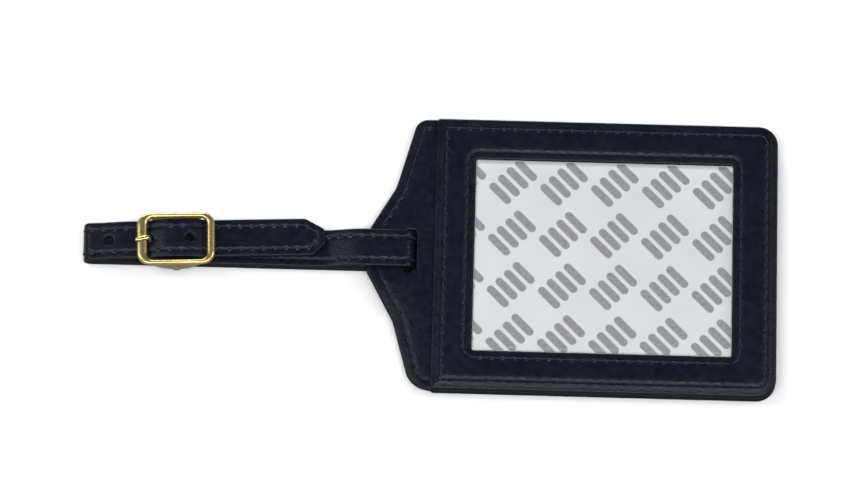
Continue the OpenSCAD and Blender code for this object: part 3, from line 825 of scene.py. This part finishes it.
def make_rear_frame():
    """The frame round the card window, with a thumb notch in the pocket's open side."""
    notch_u = BODY_LEN / 2
    notch = [(notch_u + THUMB_NOTCH_R, HALF_W, NOTCH_LIP_R),
             (notch_u + THUMB_NOTCH_R, HALF_W - THUMB_NOTCH_R, THUMB_NOTCH_R - NOTCH_LIP_R),
             (notch_u - THUMB_NOTCH_R, HALF_W - THUMB_NOTCH_R, THUMB_NOTCH_R - NOTCH_LIP_R),
             (notch_u - THUMB_NOTCH_R, HALF_W, NOTCH_LIP_R)]
    corners = BODY[:3] + notch + BODY[3:]
    outer = Edge(corners, REAR_PROFILE, REAR_SEAM, sewn=closed_side)
    window = Edge(REAR_WINDOW, REAR_PROFILE, REAR_SEAM, hole=True)
    place = flat_at(REAR_HIGH.z, -1)
    top = REAR_HIGH.z - REAR_LOW.z
    shape = Shape()
    plate(shape, [outer, window], top, place)
    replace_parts(shape.build("rear_frame_leather", LEATHER_SET, "leather", "tag_body"), "rear_frame")
    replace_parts(body_thread("rear_thread", [window, outer], top, place), "rear_window_stitching")


SHEET_PROFILE = [(0.0, 0.05), (0.03, 0.0)]
SHEET_UNDER = [(0.0, 0.03), (0.03, 0.0)]
SHEET_WALL = [(0.5, 0.0)]
SHEET_SPACING = 1.5
CARD_R = 0.4
VINYL_PLAY = 0.05
VINYL_GAP = 0.02


def make_sheet(name, node, corners, low, high, material, slot, body):
    """A thin flat sheet with crisp edges."""
    edge = Edge(corners, SHEET_PROFILE, under=SHEET_UNDER, spacing=SHEET_SPACING)
    shape = Shape()
    plate(shape, [edge], high - low, flat_at(low), grid=HIDDEN_GRID, wall=SHEET_WALL, wall_kind=0)
    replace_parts(shape.build(name, [material], slot, body), node)


def make_sheets():
    """The liner, the card and the vinyl, and the looks of the board and the adhesive sheet."""
    liner = grown(WINDOW, -LINER_PLAY)
    make_sheet("liner_sheet", "release_liner", liner, LINER_LOW.z, LINER_HIGH.z, liner_paint(), "liner",
               "liner")
    card = box_corners(CARD_LOW.x - STEP_X, CARD_HIGH.x - STEP_X, CARD_LOW.y, CARD_HIGH.y, CARD_R)
    make_sheet("card_sheet", "address_card", card, CARD_LOW.z, CARD_HIGH.z, card_paint(), "card", "card")
    vinyl = grown(REAR_WINDOW, VINYL_OVERLAP - VINYL_PLAY)
    make_sheet("vinyl_sheet", "card_window", vinyl, VINYL_LOW.z + VINYL_GAP, VINYL_HIGH.z, vinyl_paint(),
               "vinyl", "tag_body")
    board = plain_paper("grey_board", (0.28, 0.26, 0.23), (0.38, 0.36, 0.32), 0.8)
    tack = plain_paper("adhesive_film", (0.48, 0.48, 0.44), (0.56, 0.56, 0.52), 0.25)
    for node, material in (("core_board", board), ("adhesive_sheet", tack)):
        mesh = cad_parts[node].data
        mesh.materials.clear()
        mesh.materials.append(material)


# ---------- Strap ----------
# A turn is (reach, height, radius). A line's stations are (reach, height).

STRAP_W = 11.0
STRAP_HALF = STRAP_W / 2
STRAP_SIDE = 0.8
STRAP_SKEW = math.radians(2.5)
OUTER_PLY = 1.0
LINING_PLY = 0.8
STRAP_SEAM = 2.1
JOIN_REACH = 63.7
FAR_FOLD = (98.0, 2.4, 1.4)
SLOT_TURN = (8.4, 3.2, 2.2)
BAR_Z = (BAR_LOW.z + BAR_HIGH.z) / 2
BAR_FOLD = (73.7, BAR_Z, 1.0)
FOLD_THINNING = 0.3
THINNED_FROM = 66
THINNED_OVER = 5
RETURN_Z = 1.0
FREE_LINE = [(31, 4.9), (55.5, 4.9), (61.5, 4.8), (64.5, 4.8), (71.7, 6.2), (74.8, 6.2), (82.4, 4.8),
             (86, 4.8), (98, 3.8)]
BUCKLE_LINE = [(8.4, 5.4), (20, 5.4), (32, 2.8), (64.5, 2.8), (73.7, 4.6)]
TAIL_LINE = [(73.7, 2.6), (67, 2.8), (60.2, 2.8)]
LINING_END = 60.0
SEWN_END = 60.2
HOLE_REACHES = (69.8, 81.4, 93.0)
HOLE_R = 1.35
PATH_STEP = 0.25
MIN_STEP = 0.02
TURN_STEPS = 18
SPREAD = 0.035
SPREAD_REACH = 6


def line_height(stations, reach):
    """Height on a line whose stations are joined by level-ended ramps."""
    for (r0, z0), (r1, z1) in zip(stations, stations[1:]):
        if reach <= r1:
            share = max(0.0, (reach - r0) / (r1 - r0))
            return z0 + (z1 - z0) * (1 - math.cos(math.pi * share)) / 2
    return stations[-1][1]


def ramp_points(stations, start, end):
    """Side-view points (u, z) from one reach to another."""
    steps = max(2, round(abs(end - start) / PATH_STEP))
    reaches = [start + (end - start) * k / steps for k in range(steps + 1)]
    return [(-r, line_height(stations, r)) for r in reaches]


def arc(x, z, r, first, last, steps):
    """Side-view points on an arc about (x, z), between two angles in degrees."""
    angles = [math.radians(first + (last - first) * k / steps) for k in range(steps + 1)]
    return [(x + r * math.cos(a), z + r * math.sin(a)) for a in angles]


def turn_points(turn, first, last):
    """Side-view points on one of the strap's turns, between two angles in degrees."""
    reach, z, r = turn
    return arc(-reach, z, r, first, last, TURN_STEPS)


class Route:
    """The glue line that the strap follows in side view, with its length and its outward normal."""

    def __init__(self, points):
        clean = [points[0]]
        for p in points[1:]:
            if math.dist(p, clean[-1]) > MIN_STEP:
                clean.append(p)
        self.line = np.array(clean)
        self.run = np.concatenate([[0.0], np.cumsum(np.hypot(*np.diff(self.line, axis=0).T))])
        du = np.gradient(self.line[:, 0], self.run)
        dz = np.gradient(self.line[:, 1], self.run)
        size = np.hypot(du, dz)
        self.out = np.stack([dz / size, -du / size], axis=1)

    def at(self, s):
        """The place (u, z) at a length along the route, and its outward normal."""
        u, z = (float(np.interp(s, self.run, self.line[:, k])) for k in (0, 1))
        nu, nz = (float(np.interp(s, self.run, self.out[:, k])) for k in (0, 1))
        size = math.hypot(nu, nz)
        return u, z, nu / size, nz / size

    def length_at(self, reach, after, before):
        """Length along the route at a reach, looking only between two lengths."""
        part = [i for i, s in enumerate(self.run) if after <= s <= before]
        return self.run[min(part, key=lambda i: abs(self.line[i][0] + reach))]


FREE_POINTS = ramp_points(FREE_LINE, JOIN_REACH, FAR_FOLD[0])
ROUTE = Route(FREE_POINTS + turn_points(FAR_FOLD, 90, 270)
              + [(-r, RETURN_Z) for r in np.arange(FAR_FOLD[0], SLOT_TURN[0], -PATH_STEP * 2)]
              + turn_points(SLOT_TURN, -90, 90) + ramp_points(BUCKLE_LINE, SLOT_TURN[0], BAR_FOLD[0])
              + turn_points(BAR_FOLD, 90, 270)
              + ramp_points(sorted(TAIL_LINE), BAR_FOLD[0], TAIL_LINE[-1][0]))
STRAP_LEN = float(ROUTE.run[-1])
FREE_LEN = float(Route(FREE_POINTS).run[-1])
FOLD_LEN = math.pi * FAR_FOLD[2]
OVER_START = FREE_LEN + FOLD_LEN + FAR_FOLD[0] - SLOT_TURN[0] + math.pi * SLOT_TURN[2]
THIN_START = ROUTE.length_at(THINNED_FROM, OVER_START, OVER_START + THINNED_FROM)
PIVOT = Vector((STEP_X - FAR_FOLD[0], STRAP_SIDE))


def skewed(u, v, share=1.0):
    """A plan place turned to the free strand's lean, about the far fold."""
    spot = PIVOT + turned(Vector((STEP_X + u, v)) - PIVOT, STRAP_SKEW * share)
    return spot.x, spot.y


def on_strap(s, v, h):
    """Places a point at length s along the strap, v across it and h out from its glue line."""
    u, z, nu, nz = ROUTE.at(s)
    share = 1 - smooth((s - FREE_LEN) / FOLD_LEN)
    if h > 0:
        h *= 1 - FOLD_THINNING * smooth((s - THIN_START) / THINNED_OVER)
    if s < FREE_LEN:
        v *= 1 + SPREAD * smooth(2 - abs(-u - BAR_FOLD[0]) / SPREAD_REACH)
    x, y = skewed(u + nu * h, STRAP_SIDE + v, share)
    return x, y, z + nz * h


TIP_REACH = 31.0
TIP_SHOULDERS = (3.6, 5.8)
TIP_END_HALF = 2.1
TIP_R = 2.2
TIP_SPARE = 1
TIP_RUN = Route(ramp_points(FREE_LINE, JOIN_REACH, TIP_REACH - TIP_SPARE))


def on_tip(s, v, h):
    """Places a point at length s along the free tip, v across it and h above its glue line."""
    u, z, nu, nz = TIP_RUN.at(s)
    x, y = skewed(u - nu * h, STRAP_SIDE + v)
    return x, y, z - nz * h


STRAP_PROFILE = [(0.0, 0.34), (0.06, 0.22), (0.18, 0.13), (0.4, 0.09), (0.9, 0.07), (1.4, 0.06), (1.7, 0.08),
                 (1.9, 0.12), (2.1, 0.15), (2.3, 0.11), (2.6, 0.0)]
PLY_UNDER = [(0.0, 0.12), (0.1, 0.03), (0.3, 0.0)]
LINING_PROFILE = [(0.0, 0.26), (0.06, 0.16), (0.2, 0.06), (0.5, 0.02), (1.2, 0.0)]
TONGUE_SLOT_PROFILE = [(0.0, 0.2), (0.06, 0.1), (0.25, 0.0)]
PUNCH_PROFILE = [(0.0, 0.34), (0.05, 0.22), (0.16, 0.10), (0.4, 0.03), (0.8, 0.0)]
PLY_WALL = [(0.3, 0.03), (0.7, 0.03)]
TONGUE_SLOT_HALF = 1.5
TONGUE_SLOT_REACH = 71.2
TONGUE_SLOT_R = 0.6
BUCKLE_SIDE = 1.3
TONGUE_SIDE = 0.4
STRAP_SPACING = 0.45
PUNCH_SPACING = 0.3
STRAP_GRID = (0.6, 0.9)
TIP_GRID = (0.8, 0.9)
# Roughly, the strap's length past the top of its fold round the bar, and half the length of that fold.
LAST_LEN = 16
HALF_FOLD = 2
SEAM_START = 1.2
# The stitches across the strap that hold its folded end.
CROSS_STITCHES = 4
CROSS_PITCH = 2.2
CROSS_GAP = 1.6
CROSS_SHARE = 0.75
# The free tip's inner end, where its outline is not an edge, and the middle that is not sewn there.
TIP_JOIN = 4
TIP_JOIN_OPEN = 3
CIRCLE_SHARE = 0.999


def side_distance(u, v, inset):
    """Only the strap's sides are edges."""
    return STRAP_HALF - abs(v)


def tip_distance(u, v, inset):
    """The free tip's inner end is not an edge, so only its sides count there."""
    return STRAP_HALF - abs(v) if u < TIP_JOIN else inset


def tip_sewn(u, v):
    """The free tip is sewn round its edge, but not across its inner end."""
    return u > SEAM_START and not (u < TIP_JOIN and abs(v) < TIP_JOIN_OPEN)


def ply_edge(corners, profile, seam=None, **more):
    """The outer edge of one of the strap's plies."""
    return Edge(corners, profile, seam, under=PLY_UNDER, spacing=STRAP_SPACING, **more)


def circle(s, v, r):
    """A round hole's outline: a square whose corners are as round as it allows."""
    return box_corners(s - r, s + r, v - r, v + r, r * CIRCLE_SHARE)


def make_strap():
    """The whole strap but its free tip: two plies and their thread, along one route."""
    over_end = ROUTE.length_at(BAR_FOLD[0], OVER_START, STRAP_LEN - LAST_LEN)
    lining_end = ROUTE.length_at(LINING_END, OVER_START, over_end)
    sewn_end = ROUTE.length_at(SEWN_END, OVER_START, over_end)
    slot_start = ROUTE.length_at(TONGUE_SLOT_REACH, OVER_START, over_end)
    slot_end = ROUTE.length_at(TONGUE_SLOT_REACH, over_end + HALF_FOLD, STRAP_LEN)
    holes = [ROUTE.length_at(reach, 0, FREE_LEN) for reach in HOLE_REACHES]

    def sewn(s, v):
        return SEAM_START < s < sewn_end and abs(abs(v) - (STRAP_HALF - STRAP_SEAM)) < SEAM_WIDTH

    outer = ply_edge(box_corners(0, STRAP_LEN, -STRAP_HALF, STRAP_HALF, SHARP), STRAP_PROFILE, STRAP_SEAM,
                     sewn=sewn, distance=side_distance)
    punched = [Edge(circle(s, 0, HOLE_R), PUNCH_PROFILE, hole=True, under=PLY_UNDER, spacing=PUNCH_SPACING)
               for s in holes]
    slot_v = BUCKLE_SIDE + TONGUE_SIDE - STRAP_SIDE
    slot_corners = box_corners(slot_start, slot_end, slot_v - TONGUE_SLOT_HALF, slot_v + TONGUE_SLOT_HALF,
                               TONGUE_SLOT_R)
    slot = Edge(slot_corners, TONGUE_SLOT_PROFILE, hole=True, under=THIN_RIM, spacing=STRAP_SPACING)
    shape = Shape()
    plate(shape, [outer] + punched + [slot], OUTER_PLY, on_strap, grid=STRAP_GRID, wall=PLY_WALL)
    piece = shape.build("strap_outer", STRAP_SET, "strap_leather")
    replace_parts(piece, "strap_neck_outer", "strap_flex_upper", "strap_flex_lower", "strap_loop_outer",
                "buckle_strand_outer")
    lining = Shape()
    edge = ply_edge(box_corners(0, lining_end, -STRAP_HALF, STRAP_HALF, SHARP), LINING_PROFILE,
                    distance=side_distance)
    plate(lining, [edge] + punched, LINING_PLY, lambda s, v, h: on_strap(s, v, -h), grid=STRAP_GRID,
          wall=PLY_WALL)
    under = lining.build("strap_lining", LINING_SET, "strap_lining")
    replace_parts(under, "strap_neck_lining", "strap_loop_lining", "buckle_strand_lining")
    thread = Shape()
    sew(thread, outer, OUTER_PLY, on_strap)
    for k in range(CROSS_STITCHES):
        across = (k - (CROSS_STITCHES - 1) / 2) * CROSS_PITCH
        stitch(thread, sewn_end + CROSS_GAP, across, 0, 1, OUTER_PLY, on_strap, STITCH_LEN * CROSS_SHARE)
    seam = thread.build("strap_thread", [THREAD], "thread")
    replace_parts(seam, "strap_neck_stitching", "buckle_strand_stitching", "free_strand_stitching")
    for part in (piece, under, seam):
        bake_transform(part)


def make_tip():
    """The strap's free tip: two plies and their thread, with a pointed end."""
    length = JOIN_REACH - TIP_REACH
    low, high = TIP_SHOULDERS
    corners = [(0, -STRAP_HALF, SHARP), (length - low, -STRAP_HALF, TIP_R), (length, -TIP_END_HALF, TIP_R),
               (length, TIP_END_HALF, TIP_R), (length - high, STRAP_HALF, TIP_R), (0, STRAP_HALF, SHARP)]
    outer = ply_edge(corners, STRAP_PROFILE, STRAP_SEAM, sewn=tip_sewn, distance=tip_distance)
    edge = ply_edge(corners, LINING_PROFILE, distance=tip_distance)
    shape, lining, thread = Shape(), Shape(), Shape()
    plate(shape, [outer], OUTER_PLY, on_tip, grid=TIP_GRID, wall=PLY_WALL)
    plate(lining, [edge], LINING_PLY, lambda s, v, h: on_tip(s, v, -h), grid=TIP_GRID, wall=PLY_WALL)
    sew(thread, outer, OUTER_PLY, on_tip)
    piece = shape.build("tip_outer", STRAP_SET, "strap_leather")
    under = lining.build("tip_lining", LINING_SET, "strap_lining")
    seam = thread.build("tip_thread", [THREAD], "thread")
    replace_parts(piece, "strap_tip_outer", "strap_tip_flex")
    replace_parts(under, "strap_tip_lining")
    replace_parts(seam, "strap_tip_stitching")
    for part in (piece, under, seam):
        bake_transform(part)


# ---------- Buckle ----------

BUCKLE_LEN = 22.3
BUCKLE_W = 15.4
BUCKLE_CLEAR = 12.6
BUCKLE_T = 1.6
BUCKLE_Z = BUCKLE_HIGH.z - BUCKLE_T
BUCKLE_LIFT = BUCKLE_Z - BAR_Z + BUCKLE_T / 2
BUCKLE_SIDES = 20
BUCKLE_ARCS = [10] * 4
BUCKLE_STRAIGHTS = [24, 16, 24, 16]
BUCKLE_SQUARE = (0.8, 0.9)
TONGUE_BAR = 2.9
TIP_BAR = 2.3
BUCKLE_R = 3.6
BUCKLE_INNER_R = 2.0
BAR_R = 0.7
BAR_HEAD_R = 1.15
BAR_HEAD_T = 0.3
BAR_SIDES = 28
# One end of the bar: (distance past the frame's side, radius).
BAR_END = [(BAR_HEAD_T, 0.6), (0.22, 1.0), (0.1, BAR_HEAD_R), (0.01, BAR_HEAD_R), (0.0, BAR_R + 0.02),
           (-0.05, BAR_R)]
LUG_HALF = 1.8
LUG_SPREAD = 8.4
LUG_STEPS = 28
LUG_INNER_Y = BUCKLE_CLEAR / 2
LUG_OUTER_Y = BUCKLE_W / 2
# The web's rounding: (distance from the buckle's middle, how far its outline is drawn in there).
LUG_ROWS = [(LUG_INNER_Y, 0.18), (LUG_INNER_Y + 0.15, 0.0), (LUG_OUTER_Y - 0.6, 0.0),
            (LUG_OUTER_Y - 0.3, 0.1), (LUG_OUTER_Y - 0.1, 0.3), (LUG_OUTER_Y, 0.6)]


def squared(x, power):
    """A sine or cosine pushed outward, which makes a round section squarer."""
    return math.copysign(abs(x) ** power, x)


def at_bar(x, y, z):
    """A place drawn about the centre bar, tongue to -X, put where the bar is."""
    spot = turned(Vector((x, y)), STRAP_SKEW)
    return STEP_X - BAR_FOLD[0] + spot.x, BUCKLE_SIDE + spot.y, BAR_Z + z


def make_buckle_frame():
    """A cast frame: a rounded section swept round, with a web under the middle of each side."""
    outer = box_corners(-BUCKLE_LEN / 2, BUCKLE_LEN / 2, -BUCKLE_W / 2, BUCKLE_W / 2, BUCKLE_R)
    inner = box_corners(-BUCKLE_LEN / 2 + TONGUE_BAR, BUCKLE_LEN / 2 - TIP_BAR, -BUCKLE_CLEAR / 2,
                        BUCKLE_CLEAR / 2, BUCKLE_INNER_R)
    outer_loop = rounded_loop(outer, BUCKLE_ARCS, BUCKLE_STRAIGHTS)
    inner_loop = rounded_loop(inner, BUCKLE_ARCS, BUCKLE_STRAIGHTS)
    shape = Shape()
    rows = []
    for j in range(BUCKLE_SIDES):
        a = 2 * math.pi * j / BUCKLE_SIDES
        across = squared(math.cos(a), BUCKLE_SQUARE[0])
        rise = squared(math.sin(a), BUCKLE_SQUARE[1]) * BUCKLE_T / 2
        ring = []
        for o, i in zip(outer_loop, inner_loop):
            spot = (o + i) / 2 + (o - i) / 2 * across
            ring.append(at_bar(spot.x, spot.y, BUCKLE_LIFT + rise))
        rows.append(shape.row(ring))
    for a, b in zip(rows, rows[1:] + rows[:1]):
        shape.bridge(a, b)
    for side in (-1, 1):
        lug(shape, side)
    piece = shape.build("buckle_frame_brass", [BRASS], "brass", "buckle")
    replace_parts(piece, "buckle_frame")


def lug(shape, side):
    """The arched web under one side of the frame, which carries an end of the bar."""
    top = BUCKLE_LIFT
    outline = []
    for k in range(LUG_STEPS + 1):
        x = LUG_SPREAD * (2 * k / LUG_STEPS - 1)
        outline.append((x, -LUG_HALF + (top + LUG_HALF) * (x / LUG_SPREAD) ** 2))
    rows = []
    for y, inset in LUG_ROWS:
        size = 1 - inset / LUG_HALF
        rows.append(shape.row([at_bar(x * size, side * y, top + (z - top) * size) for x, z in outline]))
    shape.loft(rows)


def make_bar():
    """The centre bar, with a peened head at each end."""
    end = [(BUCKLE_W / 2 + past, r) for past, r in BAR_END]
    angles = [2 * math.pi * k / BAR_SIDES for k in range(BAR_SIDES)]
    shape = Shape()
    rows = []
    for y, r in end + [(-y, r) for y, r in reversed(end)]:
        rows.append(shape.row([at_bar(r * math.cos(a), y, r * math.sin(a)) for a in angles]))
    shape.loft(rows)
    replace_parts(shape.build("buckle_bar_brass", [BRASS], "brass", "buckle"), "buckle_bar")


TONGUE_W = 1.3
TONGUE_T = 0.9
TONGUE_SIDES = 14
TONGUE_SQUARE = 0.7
EYE_MID_R = 1.13
EYE_ARC = (165, -135)
EYE_STEPS = 20
EYE_WIDER = 1.25
EYE_HALF_T = 0.37
TONGUE_RUN_Z = -0.9
TONGUE_RISE = -7.6
TONGUE_TIP = -11.6
TONGUE_DRIFT = 0.2
TONGUE_LEAN = 0.6
TONGUE_TOP = TONGUE_HIGH.z - BAR_Z - TONGUE_T / 2
TONGUE_BEND = 1.0
TONGUE_BEND_STEPS = 6
DRIFT_FROM = -2
# Places on the tongue's run and its rise, and on its last stretch as (place, drop below its top).
RUN_PLACES = (-1.6, -3.5, -5.5)
RISE_HEIGHTS = (1.2, 2.4)
LAST_PLACES = [(TONGUE_RISE - 1.6, 0.0), (TONGUE_RISE - 2.6, 0.02), (TONGUE_TIP + 0.3, 0.1),
               (TONGUE_TIP, 0.14)]
# The share of its size that the wire keeps in its last ring and the one before it.
TIP_SIZES = {0: 0.45, 1: 0.85}


def tongue_path():
    """The middle of the tongue's wire in side view, from the end of its eye to its tip."""
    bend = TONGUE_BEND
    path = arc(0, 0, EYE_MID_R, *EYE_ARC, EYE_STEPS)
    path += [(x, TONGUE_RUN_Z) for x in RUN_PLACES]
    path += arc(TONGUE_RISE + bend, TONGUE_RUN_Z + bend, bend, -90, -180, TONGUE_BEND_STEPS)
    path += [(TONGUE_RISE, z) for z in RISE_HEIGHTS]
    path += arc(TONGUE_RISE - bend, TONGUE_TOP - bend, bend, 0, 90, TONGUE_BEND_STEPS)
    path += [(x, TONGUE_TOP - drop) for x, drop in LAST_PLACES]
    return path


def make_tongue():
    """A flat wire: an eye round the bar, a run under the strap, a rise through its hole, and the tip."""
    path = tongue_path()
    shape = Shape()
    rows = []
    for i, (x, z) in enumerate(path):
        before, after = path[max(i - 1, 0)], path[min(i + 1, len(path) - 1)]
        d = Vector((after[0] - before[0], after[1] - before[1])).normalized()
        size = TIP_SIZES.get(len(path) - 1 - i, 1.0)
        in_eye = i <= EYE_STEPS
        half_w = TONGUE_W / 2 * size * (EYE_WIDER if in_eye else 1.0)
        half_t = (EYE_HALF_T if in_eye else TONGUE_T / 2) * size
        drift = TONGUE_DRIFT * smooth((x - DRIFT_FROM) / (TONGUE_RISE - DRIFT_FROM))
        lean = TONGUE_LEAN * smooth((TONGUE_RISE - x) / (TONGUE_RISE - TONGUE_TIP))
        sideways = TONGUE_SIDE - drift - lean
        ring = []
        for j in range(TONGUE_SIDES):
            a = 2 * math.pi * j / TONGUE_SIDES
            side = squared(math.cos(a), TONGUE_SQUARE) * half_w
            out = squared(math.sin(a), TONGUE_SQUARE) * half_t
            ring.append(at_bar(x - d.y * out, sideways + side, z + d.x * out))
        rows.append(shape.row(ring))
    shape.loft(rows)
    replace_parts(shape.build("buckle_tongue_brass", [BRASS], "brass", "tongue"), "buckle_tongue")


# ---------- Stage, light and camera ----------
# Lengths here are in metres, apart from the sensor's width and the aim's shift.

FLOOR_SIZE = 6
FLOOR_Z = -0.0001
SKY = (0.86, 0.92, 1.0, 1)
SKY_STRENGTH = 0.16
# Each softbox: name, place, size and power. All of them face the object.
SOFTBOXES = [("overhead", (0.0, -0.34, 1.0), (1.1, 0.32), 9), ("behind", (-0.35, 1.2, 0.5), (0.8, 0.25), 9),
             ("left", (-0.75, 0.1, 0.8), (0.3, 0.6), 3), ("right", (0.75, 0.1, 0.8), (0.3, 0.6), 3)]


def make_floor():
    """A pale seamless floor a little below the object."""
    p = Paint("floor_paint", Specular_IOR_Level=0.2)
    tone = p.noise(60, 2.0)
    bpy.ops.mesh.primitive_plane_add(size=FLOOR_SIZE, location=(0, 0, FLOOR_Z))
    floor = bpy.context.object
    floor.name = "floor"
    floor.data.materials.append(p.finish(p.mix(tone, (0.90, 0.90, 0.91), (0.92, 0.92, 0.92)), 0.7))


def area_light(name, spot, size, power):
    """A softbox that faces the object and isn't seen itself."""
    light = bpy.data.lights.new(name, "AREA")
    light.shape = "RECTANGLE"
    light.size, light.size_y = size
    light.energy = power
    lamp = bpy.data.objects.new(name, light)
    lamp.location = spot
    lamp.rotation_euler = (-Vector(spot)).to_track_quat("-Z", "Y").to_euler()
    lamp.visible_camera = False
    bpy.context.scene.collection.objects.link(lamp)


def make_lights():
    """A wide softbox overhead, one low behind the tag, and two weak ones at its sides."""
    world = bpy.data.worlds.new("studio")
    world.use_nodes = True
    background = world.node_tree.nodes["Background"]
    background.inputs["Color"].default_value = SKY
    background.inputs["Strength"].default_value = SKY_STRENGTH
    bpy.context.scene.world = world
    for name, spot, size, power in SOFTBOXES:
        area_light(name, spot, size, power)
    bpy.context.scene.view_settings.view_transform = "Standard"


ELEVATION = math.radians(72)
AZIMUTH = math.radians(1.6)
CAMERA_AWAY = 1.5
FIELD_W = 0.2406
SENSOR = 36.0
AIM_SHIFT = Vector((-2.5, 1.1, 0.9)) * MM
CLIP_START = 0.05


def make_camera():
    """A long lens, almost straight above, aimed a little off the object's middle."""
    low, high = CAD_BOUNDS
    aim = (low + high) / 2 + AIM_SHIFT
    back = Vector((math.sin(AZIMUTH) * math.cos(ELEVATION), -math.cos(AZIMUTH) * math.cos(ELEVATION),
                   math.sin(ELEVATION)))
    data = bpy.data.cameras.new("camera")
    data.sensor_width = SENSOR
    data.lens = SENSOR * CAMERA_AWAY / FIELD_W
    data.clip_start = CLIP_START
    camera = bpy.data.objects.new("camera", data)
    camera.location = aim + back * CAMERA_AWAY
    camera.rotation_euler = (-back).to_track_quat("-Z", "Y").to_euler()
    bpy.context.scene.collection.objects.link(camera)
    bpy.context.scene.camera = camera


make_camera()
make_lights()
make_floor()
make_front_frame()
make_neck()
make_back_panel()
make_rear_frame()
make_sheets()
make_strap()
make_tip()
make_buckle_frame()
make_bar()
make_tongue()
